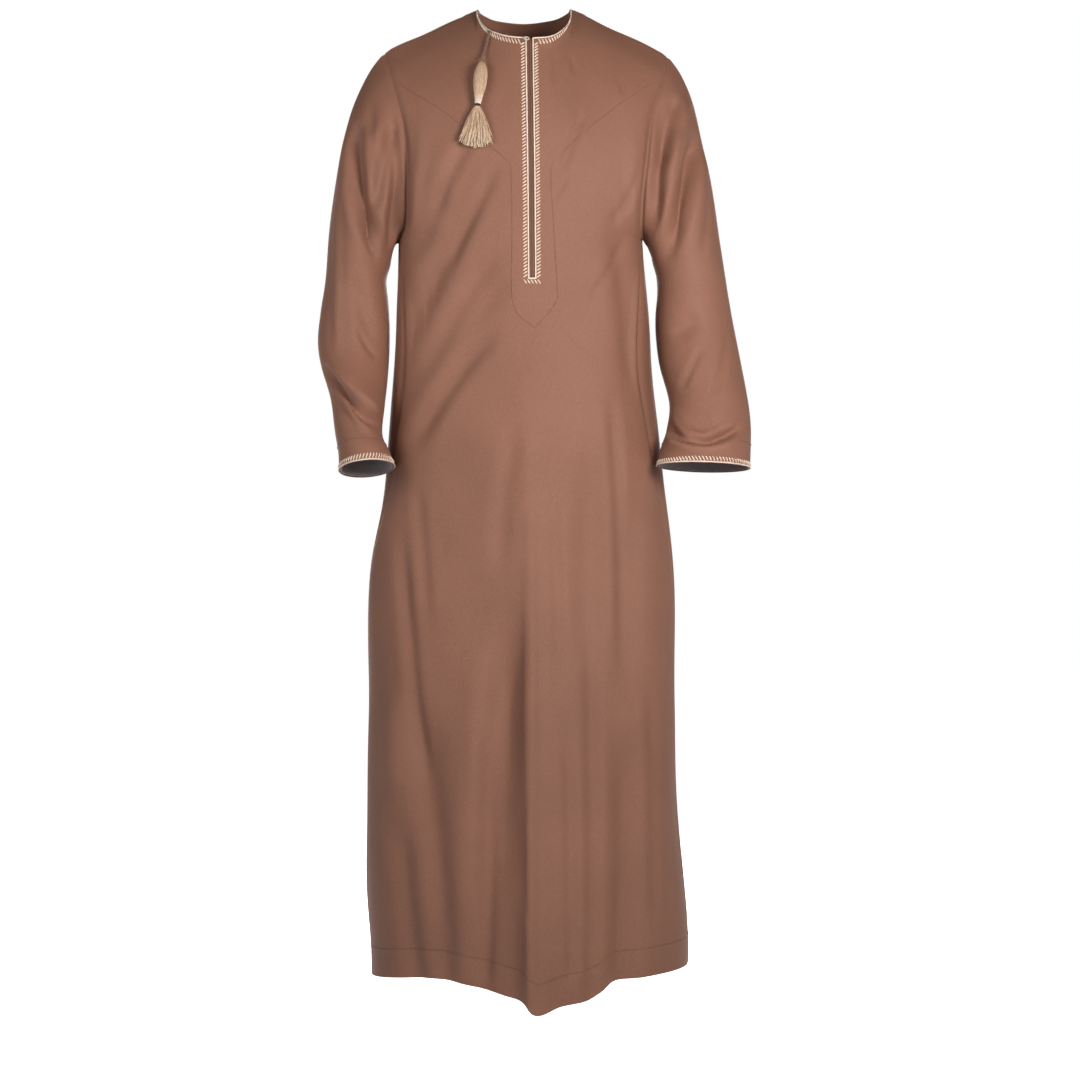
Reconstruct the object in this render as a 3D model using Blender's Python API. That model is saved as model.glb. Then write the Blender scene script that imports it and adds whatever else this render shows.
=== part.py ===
"""An ankle-length robe with a round neck, a half placket, set-in sleeves and a neck tassel, as it is worn.

Metres, +Z up. The front faces -Y and the wearer's right side is at -X. The origin is the middle of
the line between the two points where the shoulder seams meet the neck, where the wearer holds it.
"""

from collections import namedtuple
import math

import bpy
from mathutils import Matrix, Vector
import numpy as np

# Cloth and clearances
WALL = 0.0015
HEM_WALL = 0.0026
SEAM_GAP = 0.00034
TOUCH_GAP = 0.0003
FACING_WALL = 0.001
UNDER_CLOTH = WALL + 0.0004

# Body panels
ARMPIT_Z = -0.345
SIDE_ROUNDNESS = 0.8
SLIT_WIDTH = 0.008
SLIT_FOOT_Z = -0.408
TRIM_CELL = 0.010
HEM_LEVEL = -1.430
HEM_STITCH_LEVEL = -1.388
HEM_CURVE_STARTS = -0.90
SHOULDER_CELLS = 6
NECK_CELLS = 6
BACK_NECK_CELLS = 8
NECK_DEPTH = 0.095
SHOULDER_REACH = 0.110
ARMHOLE_REACH_CELLS = 9
FOOT_SPAN = 0.34
FOOT_LEAN = 0.05
VALLEY_AGREES = 0.35
VALLEY_CHANGE = 0.30
MITRE_LIMIT = 0.72
FOLD_FREE_CELLS = 1.6
SIDE_ON_FADE = 1.6
LINE_STEPS = 240

# Piping, placket, cuffs and hook
PIPING_WIDTH = 0.0022
PIPING_HEIGHT = 0.0016
PIPING_SHOULDER = 0.62
STRIP_UNDER = 0.8
STRIP_GROOVE = 0.04
STRIP_WALL = 0.0012
HOOK_LONG = 0.0041
HOOK_SHORT = 0.0026
HOOK_WIRE = 0.0008

# Tassel
TASSEL_TOP = (-0.0634, -0.0890)
TASSEL_FOOT = (-0.0697, -0.1564)
FRINGE_FOOT = (-0.0735, -0.2204)
HEAD_STAND_OFF = 0.0125
FRINGE_STAND_OFF = 0.0105
FRINGE_GAP = 0.0009
CORD_RADIUS = 0.0021
CORD_STRAIGHT = 0.004
CORD_POINTS = 11
RING_HEIGHT = 0.0028
PLATE_HALF_WIDTH = 0.0046
PLATE_HALF_DEPTH = 0.0034
PLATE_HEIGHT = 0.0016
STRANDS_ACROSS = 14
STRANDS_DEEP = 4
STRAND_LENGTH = 0.0585
STRAND_ROOT_SHARE = 0.6
SKIRT_HALF_WIDTH = 0.0255
SKIRT_HALF_DEPTH = 0.0052

Section = namedtuple("Section", "z right left front back seam_right seam_left")
SECTIONS = (
    Section(-0.345, -0.1890, 0.1740, -0.136, 0.108, -83, 83),
    Section(-0.395, -0.1905, 0.1780, -0.137, 0.104, -75, 74),
    Section(-0.450, -0.1940, 0.1830, -0.138, 0.101, -69, 67),
    Section(-0.540, -0.1975, 0.1880, -0.139, 0.104, -66, 63),
    Section(-0.620, -0.2020, 0.1970, -0.141, 0.112, -70, 66),
    Section(-0.700, -0.2080, 0.2040, -0.143, 0.126, -76, 72),
    Section(-0.820, -0.2300, 0.2190, -0.148, 0.140, -84, 82),
    Section(-1.030, -0.2340, 0.2210, -0.162, 0.150, -86, 84),
    Section(-1.180, -0.2360, 0.2250, -0.175, 0.156, -86, 84),
    Section(-1.300, -0.2370, 0.2355, -0.186, 0.160, -86, 84),
    Section(-1.400, -0.2300, 0.2415, -0.193, 0.165, -86, 84),
    Section(-1.460, -0.2290, 0.2400, -0.196, 0.167, -86, 84),
)

# The line that the slit follows at the top and the crest of the front ridge lower down.
CentreLine = namedtuple("CentreLine", "z x ridge")
CENTRE_LINE = (
    CentreLine(-0.050, 0.0056, 0.000),
    CentreLine(-0.210, 0.0061, 0.000),
    CentreLine(-0.390, 0.0095, 0.000),
    CentreLine(-0.500, 0.0090, 0.002),
    CentreLine(-0.700, 0.0050, 0.008),
    CentreLine(-0.960, 0.0060, 0.018),
    CentreLine(-1.115, 0.0115, 0.026),
    CentreLine(-1.270, 0.0110, 0.034),
    CentreLine(-1.460, 0.0095, 0.043),
)
RIDGE_REACH_RIGHT = 0.035
RIDGE_REACH_LEFT = 0.085

# Height of the hem edge by the share of the way from the right side seam to the left.
HemPoint = namedtuple("HemPoint", "share z")
FRONT_HEM = (
    HemPoint(0.000, -1.428),
    HemPoint(0.097, -1.421),
    HemPoint(0.226, -1.418),
    HemPoint(0.323, -1.425),
    HemPoint(0.416, -1.435),
    HemPoint(0.485, -1.446),
    HemPoint(0.506, -1.4555),
    HemPoint(0.599, -1.4485),
    HemPoint(0.692, -1.440),
    HemPoint(0.759, -1.4215),
    HemPoint(0.851, -1.4165),
    HemPoint(1.000, -1.412),
)
BACK_HEM = (
    HemPoint(0.000, -1.428),
    HemPoint(0.250, -1.436),
    HemPoint(0.500, -1.440),
    HemPoint(0.750, -1.430),
    HemPoint(1.000, -1.412),
)

ROW_LEVELS = (
    HEM_LEVEL, HEM_STITCH_LEVEL, -1.345, -1.290, -1.230, -1.165, -1.100, -1.035,
    -0.970, -0.910, -0.850, -0.795, -0.740, -0.685, -0.635, -0.590, -0.550,
    -0.510, -0.475, -0.440, SLIT_FOOT_Z, -0.375, ARMPIT_Z,
)
CHEST_ROWS = (0.1, 0.2, 0.3, 0.4, 0.5, 0.6, 0.7, 0.79, 0.88, 0.965, 1.0)

Place = namedtuple("Place", "x y z")
SHOULDER_RIGHT = (
    Place(-0.2108, 0.0, -0.0599),
    Place(-0.1877, 0.0, -0.0480),
    Place(-0.1519, 0.0, -0.0331),
    Place(-0.1147, 0.0, -0.0152),
    Place(-0.0894, 0.0, -0.0048),
    Place(-0.0715, 0.0, 0.0030),
)
SHOULDER_LEFT = (
    Place(0.0665, 0.0, 0.0040),
    Place(0.0900, 0.0, -0.0060),
    Place(0.1222, 0.0, -0.0226),
    Place(0.1699, 0.0, -0.0435),
    Place(0.1982, 0.0, -0.0584),
    Place(0.2101, 0.0, -0.0644),
)
NECK_FRONT = (
    SHOULDER_RIGHT[-1],
    Place(-0.0727, -0.014, -0.0035),
    Place(-0.0662, -0.041, -0.0222),
    Place(-0.0571, -0.057, -0.0338),
    Place(-0.0421, -0.072, -0.0437),
    Place(-0.0230, -0.081, -0.0497),
    Place(0.0019, -0.085, -0.0524),
    Place(0.0121, -0.085, -0.0524),
    Place(0.0355, -0.081, -0.0497),
    Place(0.0502, -0.070, -0.0404),
    Place(0.0607, -0.050, -0.0267),
    Place(0.0660, -0.024, -0.0105),
    SHOULDER_LEFT[0],
)
NECK_BACK = (
    SHOULDER_LEFT[0],
    Place(0.0640, 0.022, 0.0030),
    Place(0.0550, 0.044, 0.0005),
    Place(0.0380, 0.062, -0.0030),
    Place(-0.0030, 0.074, -0.0060),
    Place(-0.0440, 0.062, -0.0035),
    Place(-0.0605, 0.044, 0.0000),
    Place(-0.0692, 0.022, 0.0022),
    SHOULDER_RIGHT[-1],
)

# The direction in which the cloth arrives at its top edge, and the share of its length that keeps to it.
Arrival = namedtuple("Arrival", "y z span")
FRONT_NECK = Arrival(0.48, 0.88, 0.20)
FRONT_CORNER = Arrival(0.88, 0.47, 0.30)
FRONT_SHOULDER = Arrival(0.93, 0.36, 0.34)
BACK_NECK = Arrival(-0.62, 0.78, 0.24)
BACK_CORNER = Arrival(-0.99, 0.10, 0.34)
BACK_SHOULDER = Arrival(-0.93, 0.36, 0.34)

# Armhole edges from just above the underarm up to just below the shoulder tip.
ARMHOLE_FRONT_RIGHT = (
    Place(-0.1760, -0.056, -0.3190),
    Place(-0.1738, -0.076, -0.2680),
    Place(-0.1753, -0.077, -0.2158),
    Place(-0.1815, -0.070, -0.1709),
    Place(-0.1910, -0.056, -0.1322),
    Place(-0.2009, -0.034, -0.0960),
)
ARMHOLE_FRONT_LEFT = (
    Place(0.1700, -0.056, -0.3200),
    Place(0.1725, -0.074, -0.2745),
    Place(0.1776, -0.076, -0.2304),
    Place(0.1823, -0.070, -0.1856),
    Place(0.1901, -0.056, -0.1396),
    Place(0.2043, -0.034, -0.0994),
)
ARMHOLE_BACK_RIGHT = (
    Place(-0.1900, 0.020, -0.3230),
    Place(-0.1880, 0.054, -0.2900),
    Place(-0.1835, 0.076, -0.2400),
    Place(-0.1825, 0.078, -0.1800),
    Place(-0.1900, 0.062, -0.1320),
    Place(-0.2010, 0.034, -0.0940),
)
ARMHOLE_BACK_LEFT = (
    Place(0.1760, 0.020, -0.3230),
    Place(0.1775, 0.054, -0.2900),
    Place(0.1785, 0.076, -0.2400),
    Place(0.1820, 0.078, -0.1850),
    Place(0.1905, 0.062, -0.1370),
    Place(0.2030, 0.034, -0.0980),
)

# Sleeve rings from the armhole to the cuff edge, each by its outermost and innermost point and its depth.
Ring = namedtuple("Ring", "outer_x outer_y outer_z inner_x inner_y inner_z depth front_lift")
SLEEVE_RIGHT = (
    Ring(-0.2108, 0.000, -0.0599, -0.1874, -0.022, -0.3450, 0.158, 0.000),
    Ring(-0.2345, 0.000, -0.0910, -0.1935, -0.019, -0.3510, 0.160, 0.000),
    Ring(-0.2577, 0.000, -0.1389, -0.1965, -0.016, -0.3590, 0.160, 0.000),
    Ring(-0.2715, 0.000, -0.1900, -0.1990, -0.012, -0.3680, 0.158, 0.000),
    Ring(-0.2820, 0.000, -0.2500, -0.2015, -0.010, -0.3800, 0.154, 0.000),
    Ring(-0.2915, 0.000, -0.3300, -0.2075, -0.008, -0.4010, 0.149, 0.000),
    Ring(-0.2982, 0.000, -0.3993, -0.2055, -0.006, -0.4300, 0.145, 0.000),
    Ring(-0.3056, -0.002, -0.4471, -0.2035, -0.008, -0.4650, 0.142, 0.000),
    Ring(-0.3103, -0.007, -0.4922, -0.2035, -0.012, -0.5020, 0.139, 0.001),
    Ring(-0.3050, -0.022, -0.5300, -0.2055, -0.026, -0.5400, 0.136, 0.003),
    Ring(-0.2889, -0.048, -0.5805, -0.2095, -0.048, -0.5900, 0.131, 0.005),
    Ring(-0.2805, -0.070, -0.6282, -0.2110, -0.070, -0.6320, 0.126, 0.008),
    Ring(-0.2740, -0.084, -0.6600, -0.1985, -0.084, -0.6600, 0.122, 0.010),
    Ring(-0.2721, -0.092, -0.6870, -0.1915, -0.092, -0.6790, 0.120, 0.011),
)
SLEEVE_LEFT = (
    Ring(0.2101, 0.000, -0.0644, 0.1727, -0.022, -0.3450, 0.158, 0.000),
    Ring(0.2310, 0.000, -0.0942, 0.1790, -0.019, -0.3510, 0.160, 0.000),
    Ring(0.2500, 0.000, -0.1390, 0.1825, -0.016, -0.3580, 0.160, 0.000),
    Ring(0.2640, 0.000, -0.2000, 0.1860, -0.012, -0.3670, 0.158, 0.000),
    Ring(0.2757, 0.000, -0.2581, 0.1885, -0.010, -0.3780, 0.154, 0.000),
    Ring(0.2876, 0.000, -0.3326, 0.1935, -0.008, -0.3960, 0.149, 0.000),
    Ring(0.2965, 0.000, -0.3847, 0.1955, -0.006, -0.4200, 0.146, 0.000),
    Ring(0.3060, -0.002, -0.4450, 0.1935, -0.008, -0.4560, 0.143, 0.000),
    Ring(0.3123, -0.007, -0.4822, 0.1945, -0.012, -0.4900, 0.141, 0.000),
    Ring(0.3191, -0.022, -0.5274, 0.1985, -0.026, -0.5300, 0.138, 0.001),
    Ring(0.3266, -0.048, -0.5876, 0.2110, -0.048, -0.5850, 0.132, 0.002),
    Ring(0.3288, -0.066, -0.6220, 0.2060, -0.066, -0.6240, 0.128, 0.004),
    Ring(0.3283, -0.080, -0.6500, 0.1965, -0.080, -0.6520, 0.124, 0.005),
    Ring(0.3275, -0.090, -0.6830, 0.1915, -0.090, -0.6790, 0.121, 0.006),
)
SLEEVE_ROWS = (13, 12.68, 11.85, 11.2, 10.5, 10, 9.5, 9, 8.4, 7.8, 7, 6, 5, 4, 3, 2, 1, 0)
SLEEVE_FREE_RING = 4
SLEEVE_ROUNDNESS = 0.9
CUFF_TRIM_ROW = 1

# Folds by three points of their line, seen from the front or the back. A positive depth is a trough.
# A step raises the side on the left of its line and lowers the other.
Fold = namedtuple("Fold", "start middle end width depth step")
FRONT_FOLDS = (
    Fold((-0.114, -0.261), (-0.142, -0.321), (-0.175, -0.400), 0.020, 0.009, False),
    Fold((-0.067, -0.278), (-0.120, -0.370), (-0.184, -0.539), 0.020, 0.011, False),
    Fold((-0.020, -0.350), (-0.090, -0.440), (-0.165, -0.580), 0.018, 0.009, False),
    Fold((-0.017, -0.408), (-0.067, -0.461), (-0.128, -0.594), 0.018, 0.007, False),
    Fold((0.120, -0.250), (0.150, -0.450), (0.151, -0.610), 0.018, 0.009, False),
    Fold((-0.019, -0.816), (-0.023, -1.080), (-0.024, -1.430), 0.024, 0.014, False),
    Fold((-0.147, -0.990), (-0.120, -1.177), (-0.098, -1.430), 0.020, 0.016, False),
    Fold((-0.184, -1.180), (-0.176, -1.289), (-0.160, -1.430), 0.018, 0.012, False),
    Fold((0.095, -0.586), (0.093, -0.801), (0.090, -1.016), 0.022, 0.008, False),
    Fold((0.151, -0.687), (0.151, -0.860), (0.148, -1.040), 0.018, 0.008, False),
    Fold((0.144, -1.052), (0.146, -1.217), (0.139, -1.430), 0.020, 0.015, False),
    Fold((-0.191, -0.980), (-0.191, -1.084), (-0.191, -1.190), 0.018, -0.008, False),
)
BACK_FOLDS = (
    Fold((0.130, -0.270), (0.110, -0.400), (0.060, -0.560), 0.020, 0.009, False),
    Fold((-0.140, -0.280), (-0.115, -0.420), (-0.050, -0.580), 0.020, 0.011, False),
    Fold((-0.150, -0.420), (-0.110, -0.520), (-0.070, -0.640), 0.018, 0.007, False),
    Fold((-0.060, -0.760), (-0.055, -1.080), (-0.075, -1.440), 0.026, 0.016, False),
    Fold((0.050, -0.800), (0.045, -1.100), (0.030, -1.440), 0.026, 0.014, False),
    Fold((0.135, -0.900), (0.130, -1.150), (0.140, -1.440), 0.022, 0.016, False),
    Fold((-0.160, -1.000), (-0.155, -1.200), (-0.165, -1.440), 0.020, 0.015, False),
    Fold((0.095, -1.060), (0.092, -1.240), (0.088, -1.440), 0.018, -0.011, False),
)
SLEEVE_FRONT_FOLDS = (
    Fold((-0.250, -0.164), (-0.235, -0.311), (-0.210, -0.400), 0.015, 0.009, False),
    Fold((-0.261, -0.402), (-0.235, -0.453), (-0.214, -0.572), 0.015, 0.007, False),
    Fold((-0.295, -0.528), (-0.262, -0.590), (-0.205, -0.640), 0.024, 0.008, True),
    Fold((0.205, -0.110), (0.205, -0.168), (0.193, -0.218), 0.014, 0.006, False),
    Fold((0.241, -0.178), (0.238, -0.260), (0.200, -0.400), 0.015, 0.007, False),
    Fold((0.255, -0.450), (0.235, -0.475), (0.210, -0.490), 0.014, 0.006, False),
    Fold((0.309, -0.619), (0.259, -0.645), (0.210, -0.595), 0.024, 0.008, True),
)
SLEEVE_BACK_FOLDS = (
    Fold((-0.255, -0.180), (-0.240, -0.320), (-0.215, -0.420), 0.016, 0.009, False),
    Fold((-0.290, -0.430), (-0.260, -0.480), (-0.225, -0.520), 0.015, 0.007, False),
    Fold((-0.285, -0.560), (-0.250, -0.590), (-0.215, -0.590), 0.014, 0.007, False),
    Fold((0.235, -0.190), (0.235, -0.300), (0.210, -0.410), 0.016, 0.009, False),
    Fold((0.300, -0.440), (0.265, -0.490), (0.220, -0.530), 0.015, 0.007, False),
    Fold((0.310, -0.570), (0.270, -0.595), (0.225, -0.590), 0.014, 0.007, False),
)

# Each panel is parted into bands by its rows, so that the collision pieces can follow the cloth.
Band = namedtuple("Band", "name low high")
BODY_BANDS = (
    Band("skirt", 0, 9),
    Band("waist", 9, 18),
    Band("chest", 18, len(ROW_LEVELS) + len(CHEST_ROWS) - 1),
)
SLEEVE_BANDS = (
    Band("lower", 0, 10),
    Band("upper", 10, len(SLEEVE_ROWS) - 1),
)
BAND_GAP = 0.0004

# Height of the underlap above the neck edge, by column of the front panel.
TabPoint = namedtuple("TabPoint", "column height")
NECK_TAB = (
    TabPoint(8.6, 0.0012),
    TabPoint(9.0, 0.0046),
    TabPoint(9.5, 0.0058),
    TabPoint(10.0, 0.0050),
    TabPoint(11.0, 0.0028),
    TabPoint(12.0, 0.0012),
)
TAB_DEPTH_SHARE = 0.8

# The cord's route on the chest: across and height, and how far its middle stands off the panel.
CordPoint = namedtuple("CordPoint", "x z stand_off")
CORD_ROUTE = (
    CordPoint(-0.0532, -0.0400, 0.0046),
    CordPoint(-0.0548, -0.0480, 0.0042),
    CordPoint(-0.0573, -0.0600, 0.0040),
    CordPoint(-0.0603, -0.0720, 0.0056),
    CordPoint(-0.0624, -0.0825, 0.0092),
)

HeadPoint = namedtuple("HeadPoint", "down radius")
TASSEL_HEAD = (
    HeadPoint(0.000, 0.0024),
    HeadPoint(0.003, 0.0048),
    HeadPoint(0.010, 0.0080),
    HeadPoint(0.020, 0.0100),
    HeadPoint(0.031, 0.0101),
    HeadPoint(0.042, 0.0090),
    HeadPoint(0.054, 0.0066),
    HeadPoint(0.063, 0.0049),
    HeadPoint(0.0677, 0.0043),
)
TASSEL_RING = (
    HeadPoint(0.0000, 0.0041),
    HeadPoint(0.0007, 0.0048),
    HeadPoint(0.0021, 0.0048),
    HeadPoint(RING_HEIGHT, 0.0041),
)


def clear_scene():
    for thing in list(bpy.data.objects):
        bpy.data.objects.remove(thing, do_unlink=True)


def make_material(name, colour, roughness):
    material = bpy.data.materials.new(name)
    material.use_nodes = True
    shader = material.node_tree.nodes["Principled BSDF"]
    shader.inputs["Base Color"].default_value = (*colour, 1.0)
    shader.inputs["Roughness"].default_value = roughness
    shader.inputs["Metallic"].default_value = 0.0
    return material


def unit(vectors):
    length = np.linalg.norm(vectors, axis=-1, keepdims=True)
    return vectors / np.maximum(length, 1e-12)


def smooth_step(value):
    value = np.clip(value, 0.0, 1.0)
    return value * value * (3.0 - 2.0 * value)


def smooth_read(where, places, values):
    """A smooth curve through a table's values, read at where. The places rise."""
    places = np.asarray(places, float)
    values = np.asarray(values, float)
    slopes = np.gradient(values, places)
    where = np.clip(where, places[0], places[-1])
    low = np.clip(np.searchsorted(places, where) - 1, 0, len(places) - 2)
    span = places[low + 1] - places[low]
    t = (where - places[low]) / span
    start = (1 + 2 * t) * (1 - t) ** 2 * values[low] + t * (1 - t) ** 2 * span * slopes[low]
    end = t * t * (3 - 2 * t) * values[low + 1] + t * t * (t - 1) * span * slopes[low + 1]
    return start + end


def read_section(column, z):
    heights = [row.z for row in reversed(SECTIONS)]
    values = [getattr(row, column) for row in reversed(SECTIONS)]
    return smooth_read(z, heights, values)


def read_centre(column, z):
    heights = [row.z for row in reversed(CENTRE_LINE)]
    values = [getattr(row, column) for row in reversed(CENTRE_LINE)]
    return smooth_read(z, heights, values)


def curve_through(places, shares):
    """Points of the smooth curve through places, at these shares of its length."""
    points = np.array(places, float)
    rough = np.linspace(0.0, len(points) - 1.0, LINE_STEPS)
    fine = np.stack([smooth_read(rough, range(len(points)), points[:, k]) for k in range(3)], -1)
    steps = np.linalg.norm(np.diff(fine, axis=0), axis=1)
    along = np.concatenate([[0.0], np.cumsum(steps)])
    wanted = np.asarray(shares, float) * along[-1]
    return np.stack([np.interp(wanted, along, fine[:, k]) for k in range(3)], -1)


def share_at_x(places, x):
    """The share of a neck curve's length at which it passes x."""
    shares = np.linspace(0.15, 0.85, LINE_STEPS)
    return np.interp(x, curve_through(places, shares)[:, 0], shares)


def body_point(angle, z):
    """The body's outer surface, by the angle from the front centre and the height."""
    right = read_section("right", z)
    left = read_section("left", z)
    middle = (left + right) / 2
    half = (left - right) / 2
    turn = np.cos(angle)
    depth = np.where(turn > 0, read_section("front", z), read_section("back", z))
    x = middle + half * np.sin(angle)
    y = depth * np.abs(turn) ** SIDE_ROUNDNESS
    crest = read_centre("x", z) - SLIT_WIDTH / 2
    reach = np.where(x < crest, RIDGE_REACH_RIGHT, RIDGE_REACH_LEFT)
    ridge = read_centre("ridge", z) * np.exp(-np.abs(x - crest) / reach)
    y = np.where(turn > 0, y - ridge * smooth_step(turn * 2.5), y)
    return np.stack(np.broadcast_arrays(x, y, z), -1)


def front_angles(z):
    """The angles of the front panel's columns at height z, from the right side seam to the left."""
    middle = (read_section("left", z) + read_section("right", z)) / 2
    half = (read_section("left", z) - read_section("right", z)) / 2
    centre = read_centre("x", z)
    offsets = np.array([-SLIT_WIDTH / 2 - TRIM_CELL, -SLIT_WIDTH / 2, SLIT_WIDTH / 2, SLIT_WIDTH / 2 + TRIM_CELL])
    slit = np.arcsin((centre + offsets - middle) / half)
    side_cells = SHOULDER_CELLS + NECK_CELLS
    right = np.linspace(math.radians(read_section("seam_right", z)), slit[0], side_cells + 1)
    left = np.linspace(slit[3], math.radians(read_section("seam_left", z)), side_cells + 1)
    return np.concatenate([right, slit[1:3], left])


def back_angles(z):
    """The angles of the back panel's columns at height z, from the left side seam round to the right."""
    start = math.radians(read_section("seam_left", z))
    end = 2 * math.pi + math.radians(read_section("seam_right", z))
    return np.linspace(start, end, 2 * SHOULDER_CELLS + BACK_NECK_CELLS + 1)


def skirt_rows(angles_at, hem):
    """The panel's rows from the hem up to the armpit."""
    rows = []
    for level in ROW_LEVELS:
        angles = angles_at(level)
        x = body_point(angles, np.full(len(angles), level))[:, 0]
        right, left = sorted((x[0], x[-1]))
        across = np.clip((x - right) / (left - right), 0, 1)
        edge = smooth_read(across, [point.share for point in hem], [point.z for point in hem])
        share = np.clip((HEM_CURVE_STARTS - level) / (HEM_CURVE_STARTS - HEM_LEVEL), 0, 1)
        rows.append(body_point(angles, level + (edge - HEM_LEVEL) * share))
    return rows


def chest_rows(foot, top, edge_start, edge_end, leans, spans):
    """Rows from the armpit to the shoulder and neck: one curve for each column, fitted to the armholes."""
    count = len(foot)
    length = np.linalg.norm(top - foot, axis=1)[:, None]
    rise = unit(np.array([[0.0, FOOT_LEAN * np.sign(-foot[count // 2, 1]), 1.0]]))
    first = foot + FOOT_SPAN * length * rise
    second = top - spans * length * unit(leans)
    fade = 1 - smooth_step(np.arange(count) / ARMHOLE_REACH_CELLS)[:, None]
    rows = []
    for index, t in enumerate(CHEST_ROWS):
        row = (1 - t) ** 3 * foot + 3 * t * (1 - t) ** 2 * first + 3 * t * t * (1 - t) * second + t ** 3 * top
        start_shift = edge_start[index] - row[0]
        end_shift = edge_end[index] - row[-1]
        rows.append(row + fade * start_shift + fade[::-1] * end_shift)
    return rows


def armhole_curve(underarm, places, tip, shares):
    return curve_through((tuple(underarm), *places, tip), shares)


def top_leans(top, neck, corner, shoulder):
    """How each column arrives at the top edge, from the shoulder tip over the neck corner to the neck's middle."""
    outside = np.maximum(0.0, np.abs(top[:, :1]) - SHOULDER_LEFT[0].x)
    neck_share = smooth_step(np.abs(top[:, 1:2]) / NECK_DEPTH)
    shoulder_share = smooth_step(outside / SHOULDER_REACH)
    corner_share = 1 - neck_share - shoulder_share
    mix = neck_share * np.array(neck) + corner_share * np.array(corner) + shoulder_share * np.array(shoulder)
    return np.insert(mix[:, :2], 0, 0.0, axis=1), mix[:, 2:]


def front_grid():
    rows = skirt_rows(front_angles, FRONT_HEM)
    foot = rows[-1]
    centre = read_centre("x", -0.050)
    inner = [
        share_at_x(NECK_FRONT, centre + side * (SLIT_WIDTH / 2 + extra))
        for side, extra in ((-1, TRIM_CELL), (-1, 0.0), (1, 0.0), (1, TRIM_CELL))
    ]
    neck_shares = np.concatenate([
        np.linspace(0.0, inner[0], NECK_CELLS + 1),
        inner[1:3],
        np.linspace(inner[3], 1.0, NECK_CELLS + 1),
    ])
    shoulder = np.linspace(0.0, 1.0, SHOULDER_CELLS + 1)
    top = np.concatenate([
        curve_through(SHOULDER_RIGHT, shoulder)[:-1],
        curve_through(NECK_FRONT, neck_shares),
        curve_through(SHOULDER_LEFT, shoulder)[1:],
    ])
    right = armhole_curve(foot[0], ARMHOLE_FRONT_RIGHT, SHOULDER_RIGHT[0], CHEST_ROWS)
    left = armhole_curve(foot[-1], ARMHOLE_FRONT_LEFT, SHOULDER_LEFT[-1], CHEST_ROWS)
    leans, spans = top_leans(top, FRONT_NECK, FRONT_CORNER, FRONT_SHOULDER)
    return np.array(rows + chest_rows(foot, top, right, left, leans, spans))


def back_grid():
    rows = skirt_rows(back_angles, BACK_HEM)
    foot = rows[-1]
    shoulder = np.linspace(1.0, 0.0, SHOULDER_CELLS + 1)
    top = np.concatenate([
        curve_through(SHOULDER_LEFT, shoulder)[:-1],
        curve_through(NECK_BACK, np.linspace(0.0, 1.0, BACK_NECK_CELLS + 1)),
        curve_through(SHOULDER_RIGHT, shoulder)[1:],
    ])
    left = armhole_curve(foot[0], ARMHOLE_BACK_LEFT, SHOULDER_LEFT[-1], CHEST_ROWS)
    right = armhole_curve(foot[-1], ARMHOLE_BACK_RIGHT, SHOULDER_RIGHT[0], CHEST_ROWS)
    leans, spans = top_leans(top, BACK_NECK, BACK_CORNER, BACK_SHOULDER)
    return np.array(rows + chest_rows(foot, top, left, right, leans, spans))


def sleeve_grid(rings, front_edge, back_edge, side):
    """Rows from the cuff up to the armhole. The edges run from the underarm up to the shoulder tip."""
    half_count = len(CHEST_ROWS)
    rises = np.concatenate([[0.0], CHEST_ROWS])
    turns = np.concatenate([1.0 - rises[::-1], 1.0 + rises[1:-1]])
    even = np.arange(2 * half_count) / half_count
    loop = np.concatenate([front_edge[::-1], back_edge[1:-1]])
    table = np.array(rings)
    rows = []
    for station in SLEEVE_ROWS:
        ring = Ring(*(smooth_read(station, range(len(table)), column) for column in table.T))
        even_share = min(1.0, station / 6.0)
        angle = math.pi * ((1 - even_share) * turns + even_share * even)
        outer_share = (1 + np.cos(angle)) / 2
        bulge = np.sign(np.sin(angle)) * np.abs(np.sin(angle)) ** SLEEVE_ROUNDNESS
        x = ring.inner_x + (ring.outer_x - ring.inner_x) * outer_share
        y = ring.inner_y + (ring.outer_y - ring.inner_y) * outer_share - ring.depth / 2 * bulge
        z = ring.inner_z + (ring.outer_z - ring.inner_z) * outer_share + ring.front_lift * np.sin(angle)
        free = np.stack([x, y, z], -1)
        hold = 1 - smooth_step(station / SLEEVE_FREE_RING)
        mixed = (1 - hold) * free + hold * loop
        near_outer = (outer_share ** 2)[:, None] * (free[0] - mixed[0])
        near_inner = ((1 - outer_share) ** 2)[:, None] * (free[half_count] - mixed[half_count])
        rows.append(loop if station == 0 else mixed + near_outer + near_inner)
    grid = np.array(rows)
    return grid if side < 0 else np.roll(grid[:, ::-1], 1, axis=1)


def fold_height(x, z, folds):
    """How far the folds move the cloth outwards at each point."""
    height = np.zeros(x.shape)
    for fold in folds:
        start, middle, end = (np.array(point) for point in (fold.start, fold.middle, fold.end))
        control = 2 * middle - (start + end) / 2
        t = np.linspace(0, 1, 25)[:, None]
        line = (1 - t) ** 2 * start + 2 * t * (1 - t) * control + t * t * end
        away = np.stack([x, z], -1)[..., None, :] - line
        distance = np.linalg.norm(away, axis=-1)
        nearest = distance.argmin(-1)
        near = np.take_along_axis(distance, nearest[..., None], -1)[..., 0] / fold.width
        share = nearest / (len(line) - 1)
        taper = 1 - np.abs(2 * share - 1) ** 6
        if fold.step:
            run = np.gradient(line, axis=0)[nearest]
            offset = np.take_along_axis(away, nearest[..., None, None], -2)[..., 0, :]
            side = np.sign(run[..., 0] * offset[..., 1] - run[..., 1] * offset[..., 0])
            height += fold.depth * taper * side * near * np.exp(1 - near ** 2)
        else:
            height -= fold.depth * taper * np.exp(-near ** 2)
    return height


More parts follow.
